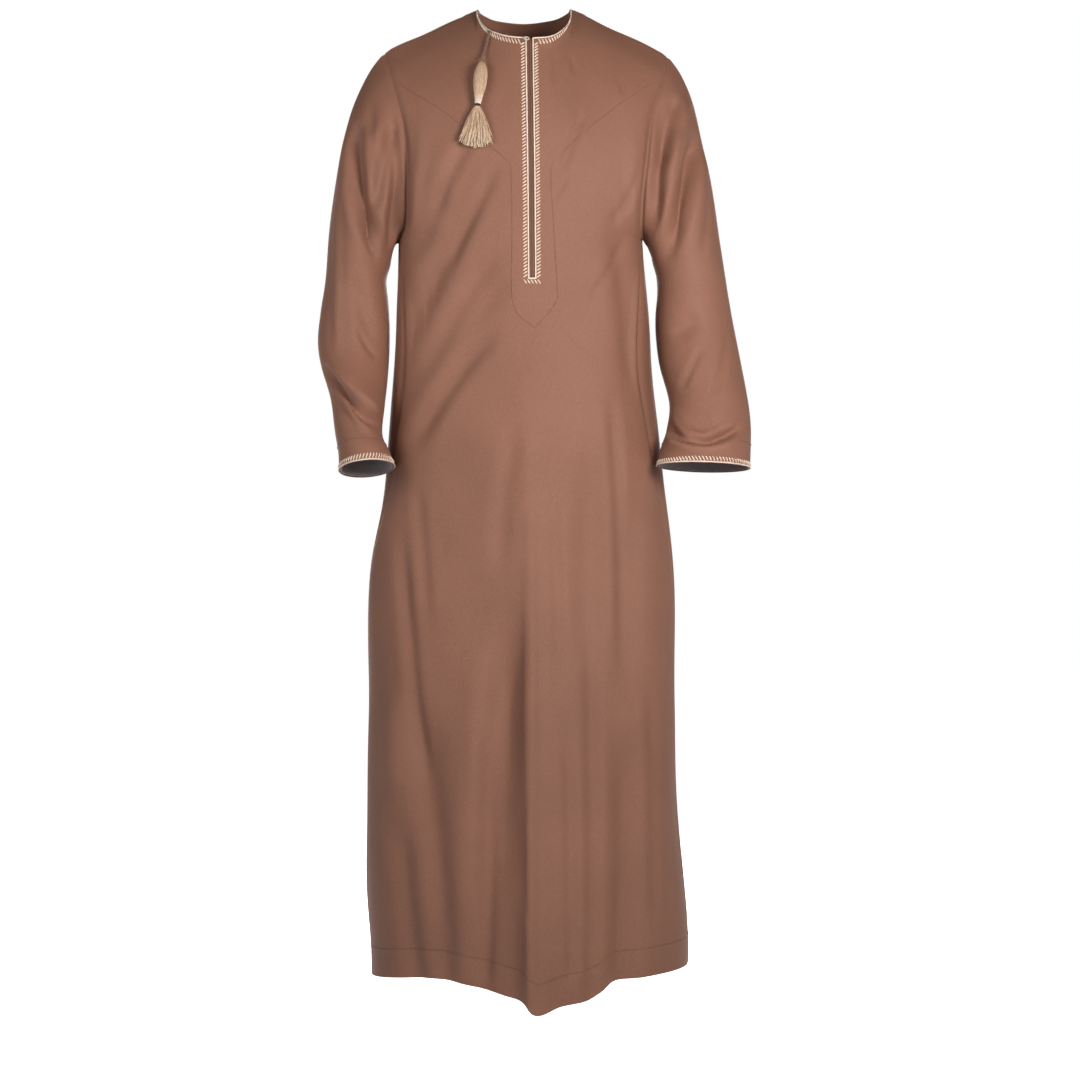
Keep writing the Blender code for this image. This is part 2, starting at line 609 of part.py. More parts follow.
def grid_normals(grid, closed):
    across = np.roll(grid, -1, 1) - np.roll(grid, 1, 1) if closed else np.gradient(grid, axis=1)
    upward = np.gradient(grid, axis=0)
    return unit(np.cross(across, upward))


def edge_fade(grid, closed, seam_rows_top):
    """0 on a panel's seams, rising to 1 a cell or two away, so that folds die out at the seams."""
    rows, columns = grid.shape[:2]
    fade = np.ones((rows, columns))
    if not closed:
        index = np.arange(columns)
        side = np.minimum(index, columns - 1 - index)
        fade *= smooth_step(side / FOLD_FREE_CELLS)[None, :]
    if seam_rows_top:
        fade *= smooth_step((rows - 1 - np.arange(rows)) / (2 * FOLD_FREE_CELLS))[:, None]
    return fade


def folded_body(grid, folds):
    normals = grid_normals(grid, False)
    height = fold_height(grid[..., 0], grid[..., 2], folds) * edge_fade(grid, False, True)
    return grid + height[..., None] * normals


def folded_sleeve(grid):
    normals = grid_normals(grid, True)
    facing = -normals[..., 1]
    height = smooth_step(facing * SIDE_ON_FADE) * fold_height(grid[..., 0], grid[..., 2], SLEEVE_FRONT_FOLDS)
    height += smooth_step(-facing * SIDE_ON_FADE) * fold_height(grid[..., 0], grid[..., 2], SLEEVE_BACK_FOLDS)
    fade = edge_fade(grid, True, True)
    fade[: CUFF_TRIM_ROW + 1] = 0.0
    return grid + (height * fade)[..., None] * normals


Panel = namedtuple("Panel", "points inner normals closed")


def join_panels(grids, closed):
    """Panels whose seam points share one mitred wall and lie half a seam gap apart.

    Where two panels meet in a tight valley, as under the arm, each keeps its own wall direction.
    """
    own = {name: grid_normals(grid, closed[name]) for name, grid in grids.items()}
    keys = {name: [tuple(key) for key in seam_keys(grid)] for name, grid in grids.items()}
    shared = {}
    for name in grids:
        for key, normal in zip(keys[name], own[name].reshape(-1, 3)):
            shared.setdefault(key, []).append(normal)
    panels = {}
    for name, grid in grids.items():
        mixed = unit(np.array([np.sum(shared[key], axis=0) for key in keys[name]])).reshape(grid.shape)
        seam = np.array([len(shared[key]) > 1 for key in keys[name]]).reshape(grid.shape[:2])
        agree = (mixed * own[name]).sum(-1)
        mitred = smooth_step((agree - VALLEY_AGREES) / VALLEY_CHANGE)[..., None]
        walls = unit(mitred * mixed + (1 - mitred) * own[name])
        thicken = 1 / np.maximum(MITRE_LIMIT, (walls * own[name]).sum(-1))
        points = pulled_in(grid, mixed, own[name], mitred, seam, closed[name])
        depth = np.full(grid.shape[:2], WALL)
        if not closed[name]:
            depth[:2] = HEM_WALL
        inner = points - (depth * thicken)[..., None] * walls
        panels[name] = Panel(points, inner, own[name], closed[name])
    return panels


def seam_keys(grid):
    return np.round(grid.reshape(-1, 3) * 1e6).astype(int)


def pulled_in(grid, mixed, own, mitred, seam, closed):
    """Moves seam points half a gap into their own panel."""
    points = grid.copy()
    edges = [(-1, -2, 0)] if closed else [(-1, -2, 0), (0, 1, 1), (-1, -2, 1)]
    for at, inside, axis in edges:
        line = np.take(grid, at, axis)
        run = np.roll(line, -1, 0) - np.roll(line, 1, 0) if closed else np.gradient(line, axis=0)
        away = unit(np.cross(run, np.take(mixed, at, axis)))
        away *= np.sign((away * (np.take(grid, inside, axis) - line)).sum(-1, keepdims=True))
        share = np.take(mitred, at, axis)
        away = unit(share * away - (1 - share) * np.take(own, at, axis))
        away *= np.take(seam, at, axis)[:, None] * SEAM_GAP / 2
        if axis == 0:
            points[at] += away
        else:
            points[:, at] += away
    return points


def signed_volume(points, faces):
    total = 0.0
    for face in faces:
        for k in range(1, len(face) - 1):
            total += np.dot(points[face[0]], np.cross(points[face[k]], points[face[k + 1]]))
    return total / 6


def make_solid(name, points, faces, material, parent):
    points = np.asarray(points, float)
    if signed_volume(points, faces) < 0:
        faces = [tuple(reversed(face)) for face in faces]
    mesh = bpy.data.meshes.new(name)
    mesh.from_pydata([tuple(point) for point in points], [], faces)
    mesh.validate()
    mesh.shade_smooth()
    mesh.set_sharp_from_angle(angle=math.radians(40))
    mesh.materials.append(material)
    solid = bpy.data.objects.new(name, mesh)
    bpy.context.scene.collection.objects.link(solid)
    solid.parent = parent
    return solid


def sheet_solid(name, outer, inner, closed, material, parent, left_out=()):
    """A wall between two grids of points, with its edges closed. left_out names cells that are cut away."""
    rows, columns = outer.shape[:2]
    count = rows * columns
    index = np.arange(count).reshape(rows, columns)
    faces = []
    edges = {}
    for row in range(rows - 1):
        for column in range(columns if closed else columns - 1):
            if (row, column) in left_out:
                continue
            after = (column + 1) % columns
            corners = (index[row, column], index[row, after], index[row + 1, after], index[row + 1, column])
            a, b, c, d = (int(corner) for corner in corners)
            faces += [(a, b, c), (a, c, d)]
            faces += [(a + count, c + count, b + count), (a + count, d + count, c + count)]
            for start, end in ((a, b), (b, c), (c, d), (d, a)):
                if (end, start) in edges:
                    del edges[(end, start)]
                else:
                    edges[(start, end)] = True
    for start, end in edges:
        faces += [(end, start, start + count), (end, start + count, end + count)]
    points = np.concatenate([outer.reshape(-1, 3), inner.reshape(-1, 3)])
    used = sorted({corner for face in faces for corner in face})
    place = {corner: number for number, corner in enumerate(used)}
    faces = [tuple(place[corner] for corner in face) for face in faces]
    return make_solid(name, points[used], faces, material, parent)


def band_grid(grid, band):
    """The rows of one band, with each parted end half a gap short of the next band."""
    rows = grid[band.low:band.high + 1].copy()
    if band.low > 0:
        rows[0] += unit(grid[band.low + 1] - grid[band.low]) * BAND_GAP / 2
    if band.high < grid.shape[0] - 1:
        rows[-1] += unit(grid[band.high - 1] - grid[band.high]) * BAND_GAP / 2
    return rows


def panel_solids(name, panel, bands, parent, left_out=()):
    """One solid for each band of the panel."""
    for band in bands:
        material = make_material(name + "_cloth_" + band.name, (0.36, 0.19, 0.125), 0.7)
        outer = band_grid(panel.points, band)
        inner = band_grid(panel.inner, band)
        missing = {(row - band.low, column) for row, column in left_out}
        sheet_solid(name + "_" + band.name, outer, inner, panel.closed, material, parent, missing)


def on_panel(panel, column, row, lift):
    """A point of the panel's mesh between its rows and columns, moved out by lift."""
    rows, columns = panel.points.shape[:2]
    low_row = int(np.clip(math.floor(row), 0, rows - 2))
    low_column = math.floor(column)
    if not panel.closed:
        low_column = int(np.clip(low_column, 0, columns - 2))
    v = row - low_row
    u = column - low_column
    left = low_column % columns
    right = (low_column + 1) % columns
    cells = ((low_row, left), (low_row, right), (low_row + 1, left), (low_row + 1, right))
    if u < v:
        in_triangle = (1 - v, 0, v - u, u)
    else:
        in_triangle = (1 - u, u - v, 0, v)
    even_mix = ((1 - u) * (1 - v), u * (1 - v), (1 - u) * v, u * v)
    point = sum(share * panel.points[cell] for share, cell in zip(in_triangle, cells))
    normal = sum(share * panel.normals[cell] for share, cell in zip(even_mix, cells))
    return point + lift * normal / np.linalg.norm(normal)


def cell_height(panel, column, row):
    return np.linalg.norm(on_panel(panel, column, row, 0) - on_panel(panel, column, row - 1, 0))


def tube_faces(stations, around, closed):
    faces = []
    for station in range(stations if closed else stations - 1):
        here = station * around
        there = ((station + 1) % stations) * around
        for k in range(around):
            after = (k + 1) % around
            faces.append((here + k, here + after, there + after, there + k))
    if not closed:
        faces.append(tuple(reversed(range(around))))
        faces.append(tuple(range((stations - 1) * around, stations * around)))
    return faces


def piping_solid(name, panel, path, closed, material, parent):
    """A rounded bead on the panel's points. Each station of the path is its edge and its inner place."""
    points = []
    top = TOUCH_GAP + PIPING_HEIGHT
    shoulder = TOUCH_GAP + PIPING_SHOULDER * PIPING_HEIGHT
    for edge, inner in path:
        middle = ((edge[0] + inner[0]) / 2, (edge[1] + inner[1]) / 2)
        points += [
            on_panel(panel, *edge, TOUCH_GAP),
            on_panel(panel, *edge, shoulder),
            on_panel(panel, *middle, top),
            on_panel(panel, *inner, shoulder),
            on_panel(panel, *inner, TOUCH_GAP),
        ]
    return make_solid(name, points, tube_faces(len(path), 5, closed), material, parent)


def front_piping_path(panel):
    """Right side of the neck, down the slit, across its foot, up again and round the left side."""
    top = panel.points.shape[0] - 1
    foot = ROW_LEVELS.index(SLIT_FOOT_Z)
    right = SHOULDER_CELLS + NECK_CELLS + 1
    left = right + 1
    last = left + 1 + NECK_CELLS
    beside = PIPING_WIDTH / TRIM_CELL
    below = PIPING_WIDTH / abs(ROW_LEVELS[foot] - ROW_LEVELS[foot - 1])

    def neck_row(column):
        return top - PIPING_WIDTH / cell_height(panel, column, top)

    path = [((column, top), (column, neck_row(column))) for column in range(SHOULDER_CELLS, right)]
    path.append(((right, top), (right - beside, neck_row(right))))
    path += [((right, row), (right - beside, row)) for row in range(top - 1, foot, -1)]
    path.append(((right, foot), (right - beside, foot - below)))
    path.append(((left, foot), (left + beside, foot - below)))
    path += [((left, row), (left + beside, row)) for row in range(foot + 1, top)]
    path.append(((left, top), (left + beside, neck_row(left))))
    path += [((column, top), (column, neck_row(column))) for column in range(left + 1, last + 1)]
    return path


def back_piping_path(panel):
    """One station at each column, and one where each cell's diagonal passes under the bead."""
    top = panel.points.shape[0] - 1
    path = []
    for column in range(SHOULDER_CELLS, SHOULDER_CELLS + BACK_NECK_CELLS + 1):
        width = PIPING_WIDTH / cell_height(panel, column, top)
        if column > SHOULDER_CELLS:
            path.append(((column - width, top), (column - width, top - width)))
        path.append(((column, top), (column, top - width)))
    return path


def cuff_piping_path(panel):
    path = []
    for column in range(panel.points.shape[1]):
        path.append(((column, 0), (column, PIPING_WIDTH / cell_height(panel, column, 1))))
    return path


def placket_strip(name, panel, columns, material, parent):
    """A narrow strip under the slit, its points taken from the front panel and moved inwards."""
    top = panel.points.shape[0] - 1
    foot = ROW_LEVELS.index(SLIT_FOOT_Z)
    rows = [foot - 0.28, *range(foot, top), top - 0.08]
    outer = np.array([[on_panel(panel, column, row, -UNDER_CLOTH) for column in columns] for row in rows])
    inner = np.array([[on_panel(panel, column, row, -UNDER_CLOTH - STRIP_WALL) for column in columns] for row in rows])
    return sheet_solid(name, outer, inner, False, material, parent)


def neck_tab(panel, material, parent):
    """The underlap that stands up behind the front neck edge."""
    top = panel.points.shape[0] - 1
    columns = [point.column for point in NECK_TAB]
    outer, inner = [], []
    for lift, grid in ((-UNDER_CLOTH, outer), (-UNDER_CLOTH - FACING_WALL, inner)):
        grid.append([on_panel(panel, column, top - TAB_DEPTH_SHARE, lift) for column in columns])
        edge = [on_panel(panel, column, top, lift) for column in columns]
        grid.append(edge)
        rise = [edge[k] - grid[0][k] for k in range(len(columns))]
        grid.append([edge[k] + NECK_TAB[k].height * rise[k] / np.linalg.norm(rise[k]) for k in range(len(columns))])
    return sheet_solid("neck_tab", np.array(outer), np.array(inner), False, material, parent)


def cuff_facing(name, panel, material, parent):
    rows = (0.1, 1, 2)
    columns = range(panel.points.shape[1])
    outer = np.array([[on_panel(panel, column, row, -UNDER_CLOTH) for column in columns] for row in rows])
    inner = np.array([[on_panel(panel, column, row, -UNDER_CLOTH - FACING_WALL) for column in columns] for row in rows])
    return sheet_solid(name, outer, inner, True, material, parent)


def front_depth(panel, x, z):
    """The front panel's y at x and z, found in the panel's own triangles."""
    grid = panel.points
    best = 0.0
    for row in range(grid.shape[0] - 1):
        for column in range(grid.shape[1] - 1):
            a, b, c, d = grid[row, column], grid[row, column + 1], grid[row + 1, column + 1], grid[row + 1, column]
            for one, two, three in ((a, b, c), (a, c, d)):
                sides = np.array([[two[0] - one[0], three[0] - one[0]], [two[2] - one[2], three[2] - one[2]]])
                if abs(np.linalg.det(sides)) < 1e-12:
                    continue
                u, v = np.linalg.solve(sides, [x - one[0], z - one[2]])
                if u >= -1e-6 and v >= -1e-6 and u + v <= 1 + 1e-6:
                    best = min(best, one[1] + u * (two[1] - one[1]) + v * (three[1] - one[1]))
    return best


def neck_hook(panel, material, parent):
    """A small flat eye that lies on the piping at the top of the slit."""
    top = panel.points.shape[0] - 1
    right = SHOULDER_CELLS + NECK_CELLS + 1
    lift = 2 * TOUCH_GAP + PIPING_HEIGHT + HOOK_WIRE
    centre = on_panel(panel, right - 0.05, top - 0.62, lift)
    across = unit(on_panel(panel, right + 0.4, top - 0.62, lift) - on_panel(panel, right - 0.4, top - 0.62, lift))
    upward = unit(on_panel(panel, right, top, lift) - on_panel(panel, right, top - 1, lift))
    out = unit(np.cross(across, upward))
    turns, sides = 14, 6
    points = []
    for turn in range(turns):
        angle = 2 * math.pi * turn / turns
        middle = centre + HOOK_LONG * math.cos(angle) * across + HOOK_SHORT * math.sin(angle) * upward
        outward = unit(math.cos(angle) * across + math.sin(angle) * upward)
        for side in range(sides):
            around = 2 * math.pi * side / sides
            points.append(middle + HOOK_WIRE * (math.cos(around) * outward + math.sin(around) * out))
    return make_solid("neck_hook", points, tube_faces(turns, sides, True), material, parent)


def turned_solid(name, profile, drop, sides, material, parent):
    """A solid turned about the parent's own Z axis, its profile measured down from drop."""
    points = []
    for point in profile:
        for side in range(sides):
            angle = 2 * math.pi * side / sides
            points.append((point.radius * math.cos(angle), point.radius * math.sin(angle), -drop - point.down))
    return make_solid(name, points, tube_faces(len(profile), sides, False), material, parent)


def hanging_empty(name, top, foot, parent):
    """An empty at top whose -Z runs towards foot and whose X stays level with the robe's."""
    up = Vector(top - foot).normalized()
    across = (Vector((1.0, 0.0, 0.0)) - up.x * up).normalized()
    empty = bpy.data.objects.new(name, None)
    bpy.context.scene.collection.objects.link(empty)
    empty.matrix_world = Matrix.LocRotScale(Vector(top), Matrix((across, up.cross(across), up)).transposed(), None)
    empty.parent = parent
    return empty


def off_front(panel, place, stand_off):
    return np.array([place[0], front_depth(panel, *place) - stand_off, place[1]])


def tassel_cord(panel, top, foot, material, parent):
    points = [
        (point.x, front_depth(panel, point.x, point.z) - point.stand_off, point.z)
        for point in CORD_ROUTE
    ]
    up = (top - foot) / np.linalg.norm(top - foot)
    points += [tuple(top + CORD_STRAIGHT * up), tuple(top + TOUCH_GAP * up)]
    route = curve_through(points, np.linspace(0.0, 1.0, CORD_POINTS))
    curve = bpy.data.curves.new("tassel_cord", "CURVE")
    curve.dimensions = "3D"
    curve.bevel_depth = CORD_RADIUS
    curve.bevel_resolution = 2
    curve.use_fill_caps = True
    spline = curve.splines.new("POLY")
    spline.points.add(len(route) - 1)
    for place, point in zip(spline.points, route):
        place.co = (*point, 1.0)
    curve.materials.append(material)
    cord = bpy.data.objects.new("tassel_cord", curve)
    bpy.context.scene.collection.objects.link(cord)
    cord.parent = parent
    return cord


def strand_place(u, v, share):
    """The middle of a strand at this share of its length. u and v are its root's place, from -1 to 1."""
    spread = share ** 0.8
    x = u * (PLATE_HALF_WIDTH + (SKIRT_HALF_WIDTH - PLATE_HALF_WIDTH) * spread)
    y = v * (PLATE_HALF_DEPTH + (SKIRT_HALF_DEPTH - PLATE_HALF_DEPTH) * spread)
    return x, y


def tassel_skirt(drop, material, parent):
    """The fringe: a small plate whose lower cells are each drawn out into one strand."""
    columns, rows = STRANDS_ACROSS, STRANDS_DEEP
    points, faces = [], []

    def add(x, y, z):
        points.append((x, y, z))
        return len(points) - 1

    low = -drop - PLATE_HEIGHT
    plate = {}
    for level, z in (("top", -drop), ("low", low)):
        for i in range(columns + 1):
            for j in range(rows + 1):
                x = PLATE_HALF_WIDTH * (2 * i / columns - 1)
                y = PLATE_HALF_DEPTH * (2 * j / rows - 1)
                plate[level, i, j] = add(x, y, z)
    for i in range(columns):
        for j in range(rows):
            cell = ((i, j), (i + 1, j), (i + 1, j + 1), (i, j + 1))
            faces.append(tuple(plate["top", a, b] for a, b in cell))
            u = (2 * i + 1) / columns - 1
            v = (2 * j + 1) / rows - 1
            length = STRAND_LENGTH * (1 - 0.09 * u * u - 0.03 * ((5 * i + 3 * j) % 4) / 3)
            ring = [plate["low", a, b] for a, b in cell]
            for share, grow in ((0.0, 0.0), (0.45, 0.6), (1.0, 1.0)):
                x, y = strand_place(u, v, share)
                half_x = PLATE_HALF_WIDTH / columns * STRAND_ROOT_SHARE + 0.0010 * grow
                half_y = PLATE_HALF_DEPTH / rows * STRAND_ROOT_SHARE + 0.0003 * grow
                corners = ((-1, -1), (1, -1), (1, 1), (-1, 1))
                after = [add(x + a * half_x, y + b * half_y, low - length * share) for a, b in corners]
                for k in range(4):
                    faces.append((ring[(k + 1) % 4], ring[k], after[k], after[(k + 1) % 4]))
                ring = after
            faces.append(tuple(reversed(ring)))
    rim = [(i, 0) for i in range(columns)] + [(columns, j) for j in range(rows)]
    rim += [(i, rows) for i in range(columns, 0, -1)] + [(0, j) for j in range(rows, 0, -1)]
    for k, here in enumerate(rim):
        there = rim[(k + 1) % len(rim)]
        faces.append((plate["top", *there], plate["top", *here], plate["low", *here], plate["low", *there]))
    return make_solid("tassel_skirt", points, faces, material, parent)


def build_tassel(front, parent):
    cord_brown = make_material("tassel_cord_brown", (0.23, 0.13, 0.085), 0.75)
    thread_tan = make_material("tassel_thread_tan", (0.52, 0.32, 0.21), 0.45)
    thread_gold = make_material("tassel_fringe_tan", (0.50, 0.31, 0.20), 0.55)
    ring_dark = make_material("tassel_ring_dark", (0.03, 0.02, 0.018), 0.5)
    top = off_front(front, TASSEL_TOP, HEAD_STAND_OFF)
    foot = off_front(front, TASSEL_FOOT, HEAD_STAND_OFF)
    hang = hanging_empty("tassel_hang", top, foot, parent)
    tassel_cord(front, top, foot, cord_brown, parent)
    turned_solid("tassel_head", TASSEL_HEAD, TOUCH_GAP, 14, thread_tan, hang)
    ring_drop = 2 * TOUCH_GAP + TASSEL_HEAD[-1].down
    turned_solid("tassel_ring", TASSEL_RING, ring_drop, 12, ring_dark, hang)
    down = (foot - top) / np.linalg.norm(foot - top)
    fringe_top = top + (ring_drop + RING_HEIGHT) * down
    fringe_foot = off_front(front, FRINGE_FOOT, FRINGE_STAND_OFF)
    fringe_hang = hanging_empty("fringe_hang", fringe_top, fringe_foot, parent)
    tassel_skirt(FRINGE_GAP, thread_gold, fringe_hang)


def build_robe():
    clear_scene()
    origin = bpy.data.objects.new("robe_origin", None)
    bpy.context.scene.collection.objects.link(origin)

    front_base = front_grid()
    back_base = back_grid()
    armpit = ROW_LEVELS.index(ARMPIT_Z)
    right = sleeve_grid(SLEEVE_RIGHT, front_base[armpit:, 0], back_base[armpit:, -1], -1)
    left = sleeve_grid(SLEEVE_LEFT, front_base[armpit:, -1], back_base[armpit:, 0], 1)
    grids = {
        "front": folded_body(front_base, FRONT_FOLDS),
        "back": folded_body(back_base, BACK_FOLDS),
        "sleeve_right": folded_sleeve(right),
        "sleeve_left": folded_sleeve(left),
    }
    closed = {"front": False, "back": False, "sleeve_right": True, "sleeve_left": True}
    panels = join_panels(grids, closed)

    slit_column = SHOULDER_CELLS + NECK_CELLS + 1
    slit_rows = range(ROW_LEVELS.index(SLIT_FOOT_Z), front_base.shape[0] - 1)
    slit = {(row, slit_column) for row in slit_rows}
    for name, panel in panels.items():
        bands = SLEEVE_BANDS if panel.closed else BODY_BANDS
        panel_solids(name, panel, bands, origin, slit if name == "front" else ())

    front = panels["front"]
    cream = make_material("neck_piping_cream", (0.76, 0.62, 0.52), 0.5)
    back_cream = make_material("back_piping_cream", (0.76, 0.62, 0.52), 0.5)
    piping_solid("neck_piping_front", front, front_piping_path(front), False, cream, origin)
    piping_solid("neck_piping_back", panels["back"], back_piping_path(panels["back"]), False, back_cream, origin)
    for side in ("right", "left"):
        sleeve = panels["sleeve_" + side]
        cuff_cream = make_material("cuff_piping_cream_" + side, (0.76, 0.62, 0.52), 0.5)
        lining = make_material("cuff_facing_grey_" + side, (0.30, 0.26, 0.27), 0.8)
        piping_solid("cuff_piping_" + side, sleeve, cuff_piping_path(sleeve), True, cuff_cream, origin)
        cuff_facing("cuff_facing_" + side, sleeve, lining, origin)

    groove = slit_column + 0.5
    right_columns = (slit_column - STRIP_UNDER, slit_column, groove - STRIP_GROOVE)
    left_columns = (groove + STRIP_GROOVE, slit_column + 1, slit_column + 1 + STRIP_UNDER)
    for side, columns in (("right", right_columns), ("left", left_columns)):
        strip = make_material("placket_cloth_" + side, (0.30, 0.155, 0.10), 0.75)
        placket_strip("placket_" + side, front, columns, strip, origin)
    neck_tab(front, make_material("neck_tab_cloth", (0.30, 0.155, 0.10), 0.75), origin)
    neck_hook(front, make_material("neck_hook_pale", (0.60, 0.50, 0.42), 0.35), origin)
    build_tassel(front, origin)


build_robe()
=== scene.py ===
"""The looks of an ankle-length robe with a round neck, a half placket, set-in sleeves and a neck tassel.

The cloth is built from the same named sizes as the solids, on a finer grid and with its smaller creases.
"""

from collections import namedtuple
import math

import bpy
from mathutils import Matrix, Vector
from mathutils.bvhtree import BVHTree
import numpy as np


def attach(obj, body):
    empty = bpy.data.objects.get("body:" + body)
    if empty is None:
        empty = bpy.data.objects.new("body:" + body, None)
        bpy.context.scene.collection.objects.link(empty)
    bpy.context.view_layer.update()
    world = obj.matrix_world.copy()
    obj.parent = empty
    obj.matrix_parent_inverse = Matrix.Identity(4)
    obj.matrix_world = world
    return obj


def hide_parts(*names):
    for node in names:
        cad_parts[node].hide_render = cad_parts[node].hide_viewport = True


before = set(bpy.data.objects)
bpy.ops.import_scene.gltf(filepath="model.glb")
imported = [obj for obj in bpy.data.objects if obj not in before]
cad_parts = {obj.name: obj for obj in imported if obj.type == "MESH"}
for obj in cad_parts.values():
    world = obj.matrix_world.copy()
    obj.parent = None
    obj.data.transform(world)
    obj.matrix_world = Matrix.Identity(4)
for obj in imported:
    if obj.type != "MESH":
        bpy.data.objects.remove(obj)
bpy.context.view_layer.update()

# Cloth and clearances
WALL = 0.0015
TOUCH_GAP = 0.0003
FACING_WALL = 0.001
UNDER_CLOTH = WALL + 0.0004

# Body panels
ARMPIT_Z = -0.345
SIDE_ROUNDNESS = 0.8
SLIT_WIDTH = 0.008
SLIT_FOOT_Z = -0.408
TRIM_CELL = 0.010
HEM_LEVEL = -1.430
HEM_STITCH_LEVEL = -1.388
HEM_CURVE_STARTS = -0.90
SHOULDER_CELLS = 6
NECK_CELLS = 6
BACK_NECK_CELLS = 8
NECK_DEPTH = 0.095
SHOULDER_REACH = 0.110
ARMHOLE_REACH_CELLS = 9
FOOT_SPAN = 0.34
FOOT_LEAN = 0.05
FOLD_FREE_CELLS = 1.6
CREASE_FREE_CELLS = 0.8
SIDE_ON_FADE = 1.6
LINE_STEPS = 240
SHORTEST = 1e-12
LOOK_FROM = -1.0

# Piping, placket, cuffs and hook
PIPING_WIDTH = 0.0022
PIPING_HEIGHT = 0.0016
STRIP_UNDER = 0.8
STRIP_GROOVE = 0.04
STRIP_WALL = 0.0012
HOOK_LONG = 0.0041
HOOK_SHORT = 0.0026
HOOK_WIRE = 0.0008
HOOK_TURNS = 36
HOOK_SIDES = 10
HOOK_TWISTS = 18
HOOK_TWIST_DEPTH = 0.08
HOOK_ASIDE = 0.05
HOOK_DOWN = 0.62
HOOK_SPAN = 0.4
STRIP_BELOW = 0.28
STRIP_SHORT = 0.08
STRIP_ROWS = 90
STRIP_COLUMNS = 9
TAB_COLUMNS = 30
LINING_ROWS = (0.1, 2.0, 12)

# Tassel
TASSEL_TOP = (-0.0634, -0.0890)
TASSEL_FOOT = (-0.0697, -0.1564)
FRINGE_FOOT = (-0.0735, -0.2204)
HEAD_STAND_OFF = 0.0125
FRINGE_STAND_OFF = 0.0105
FRINGE_GAP = 0.0009
CORD_RADIUS = 0.0021
CORD_STRAIGHT = 0.004
RING_HEIGHT = 0.0028
PLATE_HALF_WIDTH = 0.0046
PLATE_HALF_DEPTH = 0.0034
PLATE_HEIGHT = 0.0016
STRAND_LENGTH = 0.0585
SKIRT_HALF_WIDTH = 0.0255
SKIRT_HALF_DEPTH = 0.0052

Section = namedtuple("Section", "z right left front back seam_right seam_left")
SECTIONS = (
    Section(-0.345, -0.1890, 0.1740, -0.136, 0.108, -83, 83),
    Section(-0.395, -0.1905, 0.1780, -0.137, 0.104, -75, 74),
    Section(-0.450, -0.1940, 0.1830, -0.138, 0.101, -69, 67),
    Section(-0.540, -0.1975, 0.1880, -0.139, 0.104, -66, 63),
    Section(-0.620, -0.2020, 0.1970, -0.141, 0.112, -70, 66),
    Section(-0.700, -0.2080, 0.2040, -0.143, 0.126, -76, 72),
    Section(-0.820, -0.2300, 0.2190, -0.148, 0.140, -84, 82),
    Section(-1.030, -0.2340, 0.2210, -0.162, 0.150, -86, 84),
    Section(-1.180, -0.2360, 0.2250, -0.175, 0.156, -86, 84),
    Section(-1.300, -0.2370, 0.2355, -0.186, 0.160, -86, 84),
    Section(-1.400, -0.2300, 0.2415, -0.193, 0.165, -86, 84),
    Section(-1.460, -0.2290, 0.2400, -0.196, 0.167, -86, 84),
)

# The line that the slit follows at the top and the crest of the front ridge lower down.
CentreLine = namedtuple("CentreLine", "z x ridge")
CENTRE_LINE = (
    CentreLine(-0.050, 0.0056, 0.000),
    CentreLine(-0.210, 0.0061, 0.000),
    CentreLine(-0.390, 0.0095, 0.000),
    CentreLine(-0.500, 0.0090, 0.002),
    CentreLine(-0.700, 0.0050, 0.008),
    CentreLine(-0.960, 0.0060, 0.018),
    CentreLine(-1.115, 0.0115, 0.026),
    CentreLine(-1.270, 0.0110, 0.034),
    CentreLine(-1.460, 0.0095, 0.043),
)
RIDGE_REACH_RIGHT = 0.035
RIDGE_REACH_LEFT = 0.085

# Height of the hem edge by the share of the way from the right side seam to the left.
HemPoint = namedtuple("HemPoint", "share z")
FRONT_HEM = (
    HemPoint(0.000, -1.428),
    HemPoint(0.097, -1.421),
    HemPoint(0.226, -1.418),
    HemPoint(0.323, -1.425),
    HemPoint(0.416, -1.435),
    HemPoint(0.485, -1.446),
    HemPoint(0.506, -1.4555),
    HemPoint(0.599, -1.4485),
    HemPoint(0.692, -1.440),
    HemPoint(0.759, -1.4215),
    HemPoint(0.851, -1.4165),
    HemPoint(1.000, -1.412),
)
BACK_HEM = (
    HemPoint(0.000, -1.428),
    HemPoint(0.250, -1.436),
    HemPoint(0.500, -1.440),
    HemPoint(0.750, -1.430),
    HemPoint(1.000, -1.412),
)

ROW_LEVELS = (
    HEM_LEVEL, HEM_STITCH_LEVEL, -1.345, -1.290, -1.230, -1.165, -1.100, -1.035,
    -0.970, -0.910, -0.850, -0.795, -0.740, -0.685, -0.635, -0.590, -0.550,
    -0.510, -0.475, -0.440, SLIT_FOOT_Z, -0.375, ARMPIT_Z,
)
CHEST_ROWS = (0.1, 0.2, 0.3, 0.4, 0.5, 0.6, 0.7, 0.79, 0.88, 0.965, 1.0)

